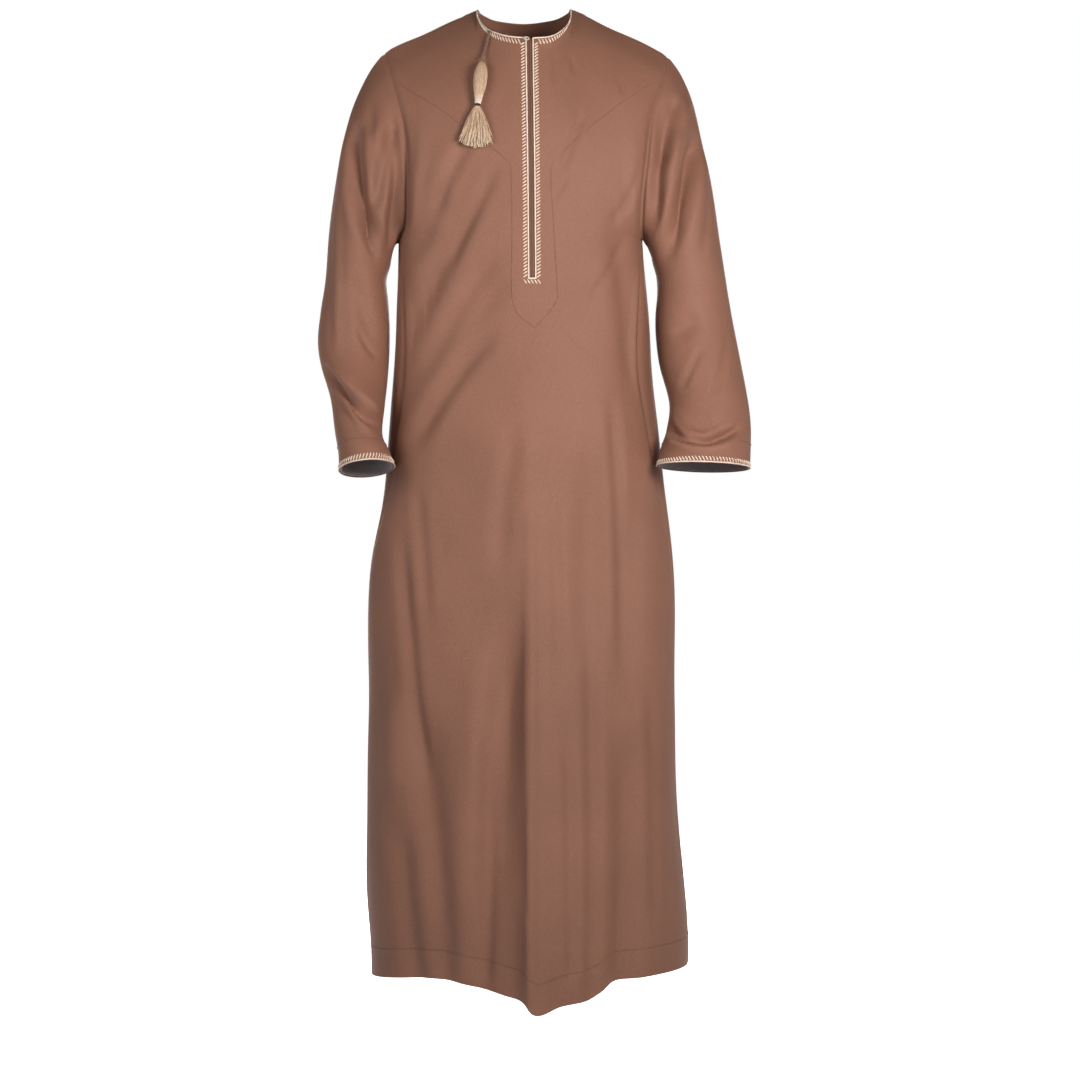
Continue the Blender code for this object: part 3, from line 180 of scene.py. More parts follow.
Place = namedtuple("Place", "x y z")
SHOULDER_RIGHT = (
    Place(-0.2108, 0.0, -0.0599),
    Place(-0.1877, 0.0, -0.0480),
    Place(-0.1519, 0.0, -0.0331),
    Place(-0.1147, 0.0, -0.0152),
    Place(-0.0894, 0.0, -0.0048),
    Place(-0.0715, 0.0, 0.0030),
)
SHOULDER_LEFT = (
    Place(0.0665, 0.0, 0.0040),
    Place(0.0900, 0.0, -0.0060),
    Place(0.1222, 0.0, -0.0226),
    Place(0.1699, 0.0, -0.0435),
    Place(0.1982, 0.0, -0.0584),
    Place(0.2101, 0.0, -0.0644),
)
NECK_FRONT = (
    SHOULDER_RIGHT[-1],
    Place(-0.0727, -0.014, -0.0035),
    Place(-0.0662, -0.041, -0.0222),
    Place(-0.0571, -0.057, -0.0338),
    Place(-0.0421, -0.072, -0.0437),
    Place(-0.0230, -0.081, -0.0497),
    Place(0.0019, -0.085, -0.0524),
    Place(0.0121, -0.085, -0.0524),
    Place(0.0355, -0.081, -0.0497),
    Place(0.0502, -0.070, -0.0404),
    Place(0.0607, -0.050, -0.0267),
    Place(0.0660, -0.024, -0.0105),
    SHOULDER_LEFT[0],
)
NECK_BACK = (
    SHOULDER_LEFT[0],
    Place(0.0640, 0.022, 0.0030),
    Place(0.0550, 0.044, 0.0005),
    Place(0.0380, 0.062, -0.0030),
    Place(-0.0030, 0.074, -0.0060),
    Place(-0.0440, 0.062, -0.0035),
    Place(-0.0605, 0.044, 0.0000),
    Place(-0.0692, 0.022, 0.0022),
    SHOULDER_RIGHT[-1],
)

# The direction in which the cloth arrives at its top edge, and the share of its length that keeps to it.
Arrival = namedtuple("Arrival", "y z span")
FRONT_NECK = Arrival(0.48, 0.88, 0.20)
FRONT_CORNER = Arrival(0.88, 0.47, 0.30)
FRONT_SHOULDER = Arrival(0.93, 0.36, 0.34)
BACK_NECK = Arrival(-0.62, 0.78, 0.24)
BACK_CORNER = Arrival(-0.99, 0.10, 0.34)
BACK_SHOULDER = Arrival(-0.93, 0.36, 0.34)

# Armhole edges from just above the underarm up to just below the shoulder tip.
ARMHOLE_FRONT_RIGHT = (
    Place(-0.1760, -0.056, -0.3190),
    Place(-0.1738, -0.076, -0.2680),
    Place(-0.1753, -0.077, -0.2158),
    Place(-0.1815, -0.070, -0.1709),
    Place(-0.1910, -0.056, -0.1322),
    Place(-0.2009, -0.034, -0.0960),
)
ARMHOLE_FRONT_LEFT = (
    Place(0.1700, -0.056, -0.3200),
    Place(0.1725, -0.074, -0.2745),
    Place(0.1776, -0.076, -0.2304),
    Place(0.1823, -0.070, -0.1856),
    Place(0.1901, -0.056, -0.1396),
    Place(0.2043, -0.034, -0.0994),
)
ARMHOLE_BACK_RIGHT = (
    Place(-0.1900, 0.020, -0.3230),
    Place(-0.1880, 0.054, -0.2900),
    Place(-0.1835, 0.076, -0.2400),
    Place(-0.1825, 0.078, -0.1800),
    Place(-0.1900, 0.062, -0.1320),
    Place(-0.2010, 0.034, -0.0940),
)
ARMHOLE_BACK_LEFT = (
    Place(0.1760, 0.020, -0.3230),
    Place(0.1775, 0.054, -0.2900),
    Place(0.1785, 0.076, -0.2400),
    Place(0.1820, 0.078, -0.1850),
    Place(0.1905, 0.062, -0.1370),
    Place(0.2030, 0.034, -0.0980),
)

# Sleeve rings from the armhole to the cuff edge, each by its outermost and innermost point and its depth.
Ring = namedtuple("Ring", "outer_x outer_y outer_z inner_x inner_y inner_z depth front_lift")
SLEEVE_RIGHT = (
    Ring(-0.2108, 0.000, -0.0599, -0.1874, -0.022, -0.3450, 0.158, 0.000),
    Ring(-0.2345, 0.000, -0.0910, -0.1935, -0.019, -0.3510, 0.160, 0.000),
    Ring(-0.2577, 0.000, -0.1389, -0.1965, -0.016, -0.3590, 0.160, 0.000),
    Ring(-0.2715, 0.000, -0.1900, -0.1990, -0.012, -0.3680, 0.158, 0.000),
    Ring(-0.2820, 0.000, -0.2500, -0.2015, -0.010, -0.3800, 0.154, 0.000),
    Ring(-0.2915, 0.000, -0.3300, -0.2075, -0.008, -0.4010, 0.149, 0.000),
    Ring(-0.2982, 0.000, -0.3993, -0.2055, -0.006, -0.4300, 0.145, 0.000),
    Ring(-0.3056, -0.002, -0.4471, -0.2035, -0.008, -0.4650, 0.142, 0.000),
    Ring(-0.3103, -0.007, -0.4922, -0.2035, -0.012, -0.5020, 0.139, 0.001),
    Ring(-0.3050, -0.022, -0.5300, -0.2055, -0.026, -0.5400, 0.136, 0.003),
    Ring(-0.2889, -0.048, -0.5805, -0.2095, -0.048, -0.5900, 0.131, 0.005),
    Ring(-0.2805, -0.070, -0.6282, -0.2110, -0.070, -0.6320, 0.126, 0.008),
    Ring(-0.2740, -0.084, -0.6600, -0.1985, -0.084, -0.6600, 0.122, 0.010),
    Ring(-0.2721, -0.092, -0.6870, -0.1915, -0.092, -0.6790, 0.120, 0.011),
)
SLEEVE_LEFT = (
    Ring(0.2101, 0.000, -0.0644, 0.1727, -0.022, -0.3450, 0.158, 0.000),
    Ring(0.2310, 0.000, -0.0942, 0.1790, -0.019, -0.3510, 0.160, 0.000),
    Ring(0.2500, 0.000, -0.1390, 0.1825, -0.016, -0.3580, 0.160, 0.000),
    Ring(0.2640, 0.000, -0.2000, 0.1860, -0.012, -0.3670, 0.158, 0.000),
    Ring(0.2757, 0.000, -0.2581, 0.1885, -0.010, -0.3780, 0.154, 0.000),
    Ring(0.2876, 0.000, -0.3326, 0.1935, -0.008, -0.3960, 0.149, 0.000),
    Ring(0.2965, 0.000, -0.3847, 0.1955, -0.006, -0.4200, 0.146, 0.000),
    Ring(0.3060, -0.002, -0.4450, 0.1935, -0.008, -0.4560, 0.143, 0.000),
    Ring(0.3123, -0.007, -0.4822, 0.1945, -0.012, -0.4900, 0.141, 0.000),
    Ring(0.3191, -0.022, -0.5274, 0.1985, -0.026, -0.5300, 0.138, 0.001),
    Ring(0.3266, -0.048, -0.5876, 0.2110, -0.048, -0.5850, 0.132, 0.002),
    Ring(0.3288, -0.066, -0.6220, 0.2060, -0.066, -0.6240, 0.128, 0.004),
    Ring(0.3283, -0.080, -0.6500, 0.1965, -0.080, -0.6520, 0.124, 0.005),
    Ring(0.3275, -0.090, -0.6830, 0.1915, -0.090, -0.6790, 0.121, 0.006),
)
SLEEVE_ROWS = (13, 12.68, 11.85, 11.2, 10.5, 10, 9.5, 9, 8.4, 7.8, 7, 6, 5, 4, 3, 2, 1, 0)
SLEEVE_FREE_RING = 4
SLEEVE_ROUNDNESS = 0.9
CUFF_TRIM_ROW = 1

# Folds by three points of their line, seen from the front or the back. A positive depth is a trough.
# A step raises the side on the left of its line and lowers the other.
Fold = namedtuple("Fold", "start middle end width depth step", defaults=(False,))
FRONT_FOLDS = (
    Fold((-0.114, -0.261), (-0.142, -0.321), (-0.175, -0.400), 0.020, 0.009),
    Fold((-0.067, -0.278), (-0.120, -0.370), (-0.184, -0.539), 0.020, 0.011),
    Fold((-0.020, -0.350), (-0.090, -0.440), (-0.165, -0.580), 0.018, 0.009),
    Fold((-0.017, -0.408), (-0.067, -0.461), (-0.128, -0.594), 0.018, 0.007),
    Fold((0.120, -0.250), (0.150, -0.450), (0.151, -0.610), 0.018, 0.009),
    Fold((-0.019, -0.816), (-0.023, -1.080), (-0.024, -1.430), 0.024, 0.014),
    Fold((-0.163, -0.990), (-0.138, -1.177), (-0.112, -1.430), 0.024, 0.015),
    Fold((-0.184, -1.180), (-0.176, -1.289), (-0.160, -1.430), 0.018, 0.012),
    Fold((0.095, -0.586), (0.093, -0.801), (0.090, -1.016), 0.022, 0.008),
    Fold((0.151, -0.687), (0.151, -0.860), (0.148, -1.040), 0.018, 0.008),
    Fold((0.144, -1.052), (0.146, -1.217), (0.139, -1.430), 0.020, 0.015),
    Fold((-0.191, -0.980), (-0.191, -1.084), (-0.191, -1.190), 0.018, -0.008),
)
BACK_FOLDS = (
    Fold((0.130, -0.270), (0.110, -0.400), (0.060, -0.560), 0.020, 0.009),
    Fold((-0.140, -0.280), (-0.115, -0.420), (-0.050, -0.580), 0.020, 0.011),
    Fold((-0.150, -0.420), (-0.110, -0.520), (-0.070, -0.640), 0.018, 0.007),
    Fold((-0.060, -0.760), (-0.055, -1.080), (-0.075, -1.440), 0.026, 0.016),
    Fold((0.050, -0.800), (0.045, -1.100), (0.030, -1.440), 0.026, 0.014),
    Fold((0.135, -0.900), (0.130, -1.150), (0.140, -1.440), 0.022, 0.016),
    Fold((-0.160, -1.000), (-0.155, -1.200), (-0.165, -1.440), 0.020, 0.015),
    Fold((0.095, -1.060), (0.092, -1.240), (0.088, -1.440), 0.018, -0.011),
)
SLEEVE_FRONT_FOLDS = (
    Fold((-0.250, -0.164), (-0.235, -0.311), (-0.210, -0.400), 0.015, 0.009),
    Fold((-0.261, -0.402), (-0.235, -0.453), (-0.214, -0.572), 0.015, 0.007),
    Fold((-0.297, -0.523), (-0.257, -0.583), (-0.205, -0.632), 0.024, 0.008, step=True),
    Fold((0.205, -0.110), (0.205, -0.168), (0.193, -0.218), 0.014, 0.006),
    Fold((0.241, -0.178), (0.238, -0.260), (0.200, -0.400), 0.015, 0.007),
    Fold((0.255, -0.450), (0.235, -0.475), (0.210, -0.490), 0.014, 0.006),
    Fold((0.309, -0.619), (0.259, -0.645), (0.210, -0.595), 0.024, 0.008, step=True),
)
SLEEVE_BACK_FOLDS = (
    Fold((-0.255, -0.180), (-0.240, -0.320), (-0.215, -0.420), 0.016, 0.009),
    Fold((-0.290, -0.430), (-0.260, -0.480), (-0.225, -0.520), 0.015, 0.007),
    Fold((-0.285, -0.560), (-0.250, -0.590), (-0.215, -0.590), 0.014, 0.007),
    Fold((0.235, -0.190), (0.235, -0.300), (0.210, -0.410), 0.016, 0.009),
    Fold((0.300, -0.440), (0.265, -0.490), (0.220, -0.530), 0.015, 0.007),
    Fold((0.310, -0.570), (0.270, -0.595), (0.225, -0.590), 0.014, 0.007),
)

# Height of the underlap above the neck edge, by column of the front panel.
TabPoint = namedtuple("TabPoint", "column height")
NECK_TAB = (
    TabPoint(8.6, 0.0012),
    TabPoint(9.0, 0.0046),
    TabPoint(9.5, 0.0058),
    TabPoint(10.0, 0.0050),
    TabPoint(11.0, 0.0028),
    TabPoint(12.0, 0.0012),
)
TAB_DEPTH_SHARE = 0.8

# The cord's route on the chest: across and height, and how far its middle stands off the panel.
CordPoint = namedtuple("CordPoint", "x z stand_off")
CORD_ROUTE = (
    CordPoint(-0.0532, -0.0400, 0.0046),
    CordPoint(-0.0548, -0.0480, 0.0042),
    CordPoint(-0.0573, -0.0600, 0.0040),
    CordPoint(-0.0603, -0.0720, 0.0056),
    CordPoint(-0.0624, -0.0825, 0.0092),
)

HeadPoint = namedtuple("HeadPoint", "down radius")
TASSEL_HEAD = (
    HeadPoint(0.000, 0.0024),
    HeadPoint(0.003, 0.0048),
    HeadPoint(0.010, 0.0080),
    HeadPoint(0.020, 0.0100),
    HeadPoint(0.031, 0.0101),
    HeadPoint(0.042, 0.0090),
    HeadPoint(0.054, 0.0066),
    HeadPoint(0.063, 0.0049),
    HeadPoint(0.0677, 0.0043),
)
TASSEL_RING = (
    HeadPoint(0.0000, 0.0041),
    HeadPoint(0.0007, 0.0048),
    HeadPoint(0.0021, 0.0048),
    HeadPoint(RING_HEIGHT, 0.0041),
)

# How much finer the cloth is than the solids, and how its edges turn and its folds fade
ROWS_BY = 5
COLUMNS_BY = 5
SLEEVE_ROWS_BY = 10
SHELL_WALL = 0.0012
HEM_SHELL_WALL = 0.0024
SEAM_DIP = 0.0032
SEAM_DIP_REACH = 0.0050
SHOULDER_DIP_SHARE = 0.3
TAPER_SHARE = 0.38
CREASE_ENDS = 0.24
FOLD_STATIONS = 61
CREST_SOFTNESS = 0.012
RIDGE_TURN = 2.5
NECK_MIDDLE = (0.15, 0.85)
SLEEVE_EVEN_RING = 6.0
CREASE_RIDGE = 1.5
SHARP_ANGLE = 50
SLACK_LEAN = 0.4
SLACK_DEPTHS = (0.0007, 0.0008, 0.0005)
SLACK_SEED = {"front": 1.0, "back": 2.3, "sleeve_right": 3.1, "sleeve_left": 4.4}

# How the creases that run down from the ends of the neck line are softened
EVEN_WIDTH = 0.020
EVEN_STEP = 0.001
EVEN_DROP = 0.036
EVEN_FROM_SIDE = 1.5
EVEN_SIDE_FADE = 2.5
EVEN_ROWS = 3
EVEN_REACH = 3

# Stitches
WHIP_PITCH = 0.0049
WHIP_START = 0.0026
WHIP_END = 0.0088
WHIP_LEAN = 0.0042
WHIP_RADIUS = 0.00108
WHIP_RISE = 0.0006
FOOT_ROW_OVER = 0.85
RUN_PITCH = 0.0034
RUN_LENGTH = 0.0027
RUN_RADIUS = 0.00042
RUN_RISE = 0.0005
TACK_LENGTH = 0.0075
TACK_RADIUS = 0.0006
TACK_EDGE = 0.15
TACK_STEP = 0.4
TACK_ROWS = (-0.008, 0.0, 0.008)
SEAM_PITCH = 0.0040
SEAM_RADIUS = 0.00060
SEAM_STITCH = 1.15 * SEAM_PITCH
THREAD_TIP = 0.55
THREAD_SUNK = 0.5
BEAD_SIDES = 10
BEAD_FOOT = 0.35
WHIP_MESH = (5, 5)
LINE_MESH = (4, 3)
CUFF_LINE_STATIONS = 150
CUFF_STITCH_RISE = 0.036
CUFF_SEARCH_ROWS = np.arange(0, 6, 0.25)
HEM_LINE_STATIONS = 260
HEM_LINE_END = 0.05
FRONT_LINE_STATIONS = 60

# Small creases, read as the folds are. Each is a trough with a soft ridge on both sides.
FRONT_CREASES = (
    Fold((0.063, -0.253), (0.050, -0.277), (0.038, -0.300), 0.006, 0.0022),
    Fold((0.045, -0.071), (0.043, -0.098), (0.041, -0.124), 0.008, 0.0020),
    Fold((0.069, -0.076), (0.070, -0.091), (0.073, -0.105), 0.007, 0.0016),
    Fold((0.146, -0.108), (0.140, -0.120), (0.146, -0.134), 0.006, 0.0022),
    Fold((0.165, -0.240), (0.150, -0.290), (0.120, -0.330), 0.009, 0.0026),
    Fold((0.160, -0.330), (0.120, -0.400), (0.090, -0.440), 0.010, 0.0020),
    Fold((0.030, -0.430), (0.060, -0.480), (0.110, -0.520), 0.011, 0.0018),
    Fold((0.125, -0.606), (0.143, -0.608), (0.161, -0.605), 0.004, 0.0012),
    Fold((0.037, -0.662), (0.056, -0.664), (0.076, -0.661), 0.004, 0.0010),
    Fold((0.134, -0.661), (0.150, -0.663), (0.167, -0.659), 0.004, 0.0012),
    Fold((-0.025, -0.347), (-0.016, -0.348), (-0.008, -0.346), 0.004, 0.0008),
    Fold((-0.160, -0.700), (-0.150, -0.800), (-0.140, -0.930), 0.012, 0.0028),
    Fold((0.040, -0.700), (0.045, -0.860), (0.050, -1.020), 0.012, 0.0026),
    Fold((0.060, -1.060), (0.064, -1.200), (0.066, -1.400), 0.012, 0.0034),
    Fold((-0.060, -1.040), (-0.058, -1.200), (-0.060, -1.410), 0.012, 0.0034),
    Fold((0.180, -0.980), (0.186, -1.150), (0.188, -1.380), 0.012, 0.0032),
    Fold((0.104, -1.114), (0.106, -1.150), (0.101, -1.177), 0.008, 0.0016),
    Fold((-0.033, -0.477), (-0.100, -0.550), (-0.176, -0.670), 0.020, 0.0070),
    Fold((-0.060, -0.170), (-0.100, -0.235), (-0.140, -0.320), 0.016, 0.0040),
    Fold((-0.040, -0.240), (-0.080, -0.320), (-0.120, -0.400), 0.014, 0.0040),
    Fold((0.085, -0.165), (0.070, -0.200), (0.045, -0.270), 0.010, 0.0030),
    Fold((-0.030, -0.900), (-0.048, -1.160), (-0.066, -1.430), 0.031, 0.0130),
    Fold((0.008, -0.640), (0.006, -1.040), (0.004, -1.430), 0.014, -0.0034),
    Fold((-0.010, -0.620), (-0.030, -0.720), (-0.034, -0.860), 0.020, 0.0040),
    Fold((-0.185, -0.760), (-0.165, -0.960), (-0.150, -1.180), 0.014, 0.0050),
    Fold((0.092, -0.900), (0.096, -1.150), (0.094, -1.430), 0.016, 0.0050),
    Fold((0.122, -0.560), (0.136, -0.760), (0.140, -1.000), 0.013, 0.0040),
)
BACK_CREASES = (
    Fold((-0.070, -0.030), (-0.085, -0.080), (-0.095, -0.130), 0.009, 0.0024),
    Fold((0.070, -0.030), (0.082, -0.075), (0.090, -0.120), 0.009, 0.0020),
    Fold((-0.160, -0.220), (-0.130, -0.260), (-0.080, -0.290), 0.010, 0.0028),
    Fold((0.160, -0.210), (0.125, -0.245), (0.085, -0.300), 0.010, 0.0026),
    Fold((-0.165, -0.330), (-0.120, -0.360), (-0.070, -0.430), 0.010, 0.0030),
    Fold((0.155, -0.340), (0.115, -0.380), (0.080, -0.450), 0.010, 0.0028),
    Fold((-0.050, -0.450), (0.000, -0.470), (0.060, -0.455), 0.013, 0.0034),
    Fold((-0.080, -0.520), (-0.010, -0.545), (0.070, -0.530), 0.013, 0.0030),
    Fold((-0.160, -0.620), (-0.120, -0.660), (-0.090, -0.740), 0.012, 0.0028),
    Fold((0.170, -0.600), (0.130, -0.650), (0.110, -0.730), 0.012, 0.0026),
    Fold((0.000, -0.700), (0.004, -0.900), (-0.005, -1.100), 0.014, 0.0030),
    Fold((0.100, -0.780), (0.094, -0.900), (0.092, -1.020), 0.012, 0.0028),
    Fold((-0.115, -0.800), (-0.112, -0.960), (-0.120, -1.120), 0.013, 0.0032),
    Fold((-0.010, -1.150), (-0.016, -1.280), (-0.020, -1.420), 0.013, 0.0036),
    Fold((-0.115, -1.180), (-0.110, -1.300), (-0.112, -1.420), 0.012, 0.0034),
    Fold((0.185, -1.000), (0.180, -1.200), (0.186, -1.400), 0.012, 0.0032),
)
SLEEVE_FRONT_CREASES = (
    Fold((-0.197, -0.140), (-0.189, -0.250), (-0.200, -0.400), 0.016, 0.0130),
    Fold((-0.246, -0.165), (-0.248, -0.262), (-0.210, -0.375), 0.016, 0.0140),
    Fold((-0.198, -0.165), (-0.210, -0.245), (-0.224, -0.315), 0.014, 0.0100),
    Fold((-0.276, -0.250), (-0.278, -0.390), (-0.276, -0.530), 0.009, -0.0022),
    Fold((-0.306, -0.522), (-0.256, -0.583), (-0.200, -0.632), 0.0095, 0.0115),
    Fold((0.201, -0.115), (0.193, -0.220), (0.190, -0.350), 0.016, 0.0130),
    Fold((0.220, -0.125), (0.210, -0.185), (0.194, -0.255), 0.014, 0.0115),
    Fold((0.258, -0.185), (0.238, -0.262), (0.201, -0.390), 0.018, 0.0150),
    Fold((0.193, -0.562), (0.232, -0.641), (0.326, -0.615), 0.0105, 0.0120),
    Fold((-0.271, -0.212), (-0.270, -0.240), (-0.266, -0.265), 0.007, 0.0016),
    Fold((-0.235, -0.330), (-0.225, -0.355), (-0.214, -0.375), 0.007, 0.0022),
    Fold((-0.250, -0.470), (-0.232, -0.500), (-0.214, -0.520), 0.007, 0.0020),
    Fold((-0.230, -0.130), (-0.225, -0.190), (-0.218, -0.240), 0.009, 0.0020),
    Fold((0.222, -0.130), (0.226, -0.200), (0.215, -0.270), 0.008, 0.0018),
    Fold((0.265, -0.240), (0.268, -0.310), (0.255, -0.380), 0.009, 0.0022),
    Fold((0.300, -0.480), (0.285, -0.540), (0.270, -0.580), 0.009, 0.0024),
    Fold((0.260, -0.500), (0.240, -0.540), (0.225, -0.570), 0.008, 0.0022),
    Fold((0.213, -0.593), (0.232, -0.628), (0.259, -0.640), 0.007, 0.0026),
    Fold((0.285, -0.640), (0.298, -0.632), (0.312, -0.616), 0.007, 0.0020),
)
SLEEVE_BACK_CREASES = (
    Fold((-0.235, -0.150), (-0.232, -0.240), (-0.204, -0.350), 0.011, 0.0050),
    Fold((0.236, -0.140), (0.232, -0.230), (0.202, -0.345), 0.011, 0.0050),
    Fold((-0.265, -0.190), (-0.262, -0.300), (-0.222, -0.420), 0.010, 0.0050),
    Fold((0.262, -0.190), (0.260, -0.300), (0.222, -0.410), 0.010, 0.0045),
    Fold((-0.270, -0.250), (-0.262, -0.330), (-0.245, -0.400), 0.009, 0.0024),
    Fold((-0.280, -0.480), (-0.255, -0.510), (-0.225, -0.520), 0.008, 0.0022),
    Fold((-0.290, -0.530), (-0.262, -0.550), (-0.235, -0.560), 0.008, 0.0022),
    Fold((0.270, -0.250), (0.268, -0.340), (0.250, -0.420), 0.009, 0.0024),
    Fold((0.310, -0.500), (0.275, -0.530), (0.235, -0.545), 0.008, 0.0024),
    Fold((0.315, -0.610), (0.290, -0.630), (0.250, -0.635), 0.008, 0.0020),
)

# Lines of stitching, read across and in height on the front.
Spot = namedtuple("Spot", "x z")
BIB_RIGHT = (
    Spot(-0.188, -0.115), Spot(-0.1545, -0.138), Spot(-0.117, -0.164), Spot(-0.081, -0.1965),
    Spot(-0.044, -0.222), Spot(-0.025, -0.240), Spot(-0.021, -0.2516), Spot(-0.0196, -0.339),
    Spot(-0.018, -0.446), Spot(0.0137, -0.481),
)
BIB_LEFT = (
    Spot(0.195, -0.1085), Spot(0.1676, -0.127), Spot(0.123, -0.1605), Spot(0.079, -0.199),
    Spot(0.050, -0.229), Spot(0.037, -0.2516), Spot(0.040, -0.3245), Spot(0.0455, -0.419),
    Spot(0.044, -0.443), Spot(0.0137, -0.481),
)
Tack = namedtuple("Tack", "side row")
BAR_TACKS = (
    Tack("right", 15.30), Tack("right", 14.95), Tack("right", 12.3),
    Tack("left", 15.30), Tack("left", 12.3),
)

# Half a cell of the front's grid in each direction. Right and left are the wearer's.
UP = (0, 0.5)
DOWN = (0, -0.5)
RIGHTWARD = (-0.5, 0)
LEFTWARD = (0.5, 0)

# Places on the grid of the solids
SLIT_COLUMN = SHOULDER_CELLS + NECK_CELLS + 1
HEM_STITCH_ROW = ROW_LEVELS.index(HEM_STITCH_LEVEL)
SLIT_FOOT_ROW = ROW_LEVELS.index(SLIT_FOOT_Z)
ARMPIT_ROW = ROW_LEVELS.index(ARMPIT_Z)
SLEEVE_COLUMNS = 2 * len(CHEST_ROWS)

# The studio's floor, and a sky that fades from full below to a share of it above
FLOOR_LEVEL = -1.53
FLOOR_HALF_WIDTH = 12.0
FLOOR_GLOW = 0.97
WORLD_STRENGTH = 0.48
SKY_SHARE = 0.08
SKY_STARTS = 0.20
SKY_ENDS = 0.36

# The scene's tassel
STRAND_COUNT = 170
STRAND_RADIUS = 0.00050
STRAND_SIDES = 4
STRAND_STATIONS = 10
STRAND_WAVE = 0.0026
STRAND_WAVE_DEEP = 0.0012
STRAY_EVERY = 19
STRAY_FIRST = 3
STRAY_SPREAD = 1.25
LONGEST_SHARE = 1.02
SIDES_SHORTER = 0.16
ODD_SHORTER = 0.14
ODD_STEP = 7.3
SPREAD_POWER = 0.85
SPREAD_POWER_SWING = 0.15
SPREAD_STEP = 3.7
BEND_ACROSS = 4.2
BEND_DEEP = 4.4
ROOT_THICKNESS = 0.8
THICKNESS_CHANGE = 0.5
TIP_POWER = 6
ROOT_FILL = 0.97
ROOT_SHARE = 0.9
CORD_STATIONS = 40
CORD_SIDES = 18
CORD_LOBES = 3
CORD_LOBE_DEPTH = 0.22
CORD_TURN = 0.0075
TURNED_FINER = 4
HEAD_SIDES = 132
HEAD_RIDGES = 22
HEAD_RIDGE_DEPTH = 0.00075
RIDGE_WANDER = 0.8
RIDGE_WANDER_DOWN = 0.5
RIDGE_WANDER_RATE = 60
RING_SIDES = 48

# Colours
SUITING = (0.191, 0.0850, 0.0545)
PLACKET_BROWN = (0.14, 0.063, 0.041)
CREAM = (0.70, 0.57, 0.47)
THREAD_CREAM = (0.74, 0.58, 0.46)
THREAD_BROWN = (0.105, 0.048, 0.033)
CORD_BROWN = (0.16, 0.085, 0.055)
SILK_TAN = (0.42, 0.28, 0.185)
# The tassel head's pale lower end is a painted highlight.
SILK_PAINTED_HIGHLIGHT = (0.74, 0.67, 0.58)
BINDING_DARK = (0.022, 0.014, 0.012)
FRINGE_TAN = (0.47, 0.31, 0.20)
FRINGE_PALE = (0.64, 0.49, 0.35)
EYE_PALE = (0.50, 0.42, 0.35)
LINING_GREY = (0.30, 0.25, 0.25)
LINING_DOT = (0.11, 0.12, 0.18)
FLOOR_PALE = (0.93, 0.93, 0.93)
WHITE = (1.0, 1.0, 1.0)

# Looks. A wave texture of scale 1 repeats after WAVE_PERIOD metres.
CLOTH_SPECULAR = 0.25
SILK_SPECULAR = 0.6
# Heights between which the tassel head turns to its painted highlight, and the fringe to its paler tips.
HEAD_PAINTED_HIGHLIGHT = (-0.138, -0.160)
FRINGE_PALER = (-0.185, -0.222)
WAVE_PERIOD = 0.314
TWILL_PERIOD = 0.0009
TWILL_SLANT = 55

# The solids that each piece of cloth stands for
PANEL_NODES = {
    "front": ("front_chest", "front_waist", "front_skirt"),
    "back": ("back_chest", "back_waist", "back_skirt"),
    "sleeve_right": ("sleeve_right_upper", "sleeve_right_lower"),
    "sleeve_left": ("sleeve_left_upper", "sleeve_left_lower"),
}

# What each sheet was cut to, flat
Cut = namedtuple("Cut", "flat area hangs_from")

# Lamps: each looks from its place at its target
Lamp = namedtuple("Lamp", "name place target size power colour")
LAMPS = (
    Lamp("key", (0.74, -1.52, -0.24), (0.0, 0.0, -0.34), 0.5, 35.0, (1.0, 0.98, 0.95)),
    Lamp("fill", (-1.15, -1.20, -0.05), (-0.14, 0.0, -0.32), 0.8, 13.0, (1.0, 0.99, 0.97)),
    Lamp("back_right", (0.55, 2.9, 0.2), (0.0, 0.0, -0.6), 1.2, 62.0, (1.0, 0.99, 0.97)),
    Lamp("back_left", (-0.75, 2.8, -0.5), (0.0, 0.0, -0.7), 1.2, 31.0, (1.0, 0.99, 0.97)),
)

# The photograph's camera
CAMERA_PLACE = (0.0209, -4.5, -0.787)
CAMERA_LENS = 100.67
CAMERA_SENSOR = 36.0


def unit(vectors):
    length = np.linalg.norm(vectors, axis=-1, keepdims=True)
    return vectors / np.maximum(length, SHORTEST)


def turned(part, parts):
    """The angle of this many of the even parts of a full turn."""
    return 2 * math.pi * part / parts


def smooth_step(value):
    value = np.clip(value, 0.0, 1.0)
    return value * value * (3.0 - 2.0 * value)


def smooth_read(where, places, values):
    """A smooth curve through a table's values, read at where. The places rise."""
    places = np.asarray(places, float)
    values = np.asarray(values, float)
    slopes = np.gradient(values, places)
    where = np.clip(where, places[0], places[-1])
    low = np.clip(np.searchsorted(places, where) - 1, 0, len(places) - 2)
    span = places[low + 1] - places[low]
    t = (where - places[low]) / span
    start = (1 + 2 * t) * (1 - t) ** 2 * values[low] + t * (1 - t) ** 2 * span * slopes[low]
    end = t * t * (3 - 2 * t) * values[low + 1] + t * t * (t - 1) * span * slopes[low + 1]
    return start + end


def read_table(table, column, z):
    """One column of a table whose rows go down the robe, read smoothly at height z."""
    rows = table[::-1]
    return smooth_read(z, [row.z for row in rows], [getattr(row, column) for row in rows])


def read_section(column, z):
    return read_table(SECTIONS, column, z)


def read_centre(column, z):
    return read_table(CENTRE_LINE, column, z)


def run_along(line):
    """How far along a line of points each of them lies."""
    steps = np.linalg.norm(np.diff(line, axis=0), axis=1)
    return np.concatenate([[0.0], np.cumsum(steps)])


def curve_through(places, shares):
    """Points of the smooth curve through places, at these shares of its length."""
    points = np.array(places, float)
    rough = np.linspace(0.0, len(points) - 1.0, LINE_STEPS)
    fine = np.stack([smooth_read(rough, range(len(points)), points[:, k]) for k in range(3)], -1)
    along = run_along(fine)
    wanted = np.asarray(shares, float) * along[-1]
    return np.stack([np.interp(wanted, along, fine[:, k]) for k in range(3)], -1)


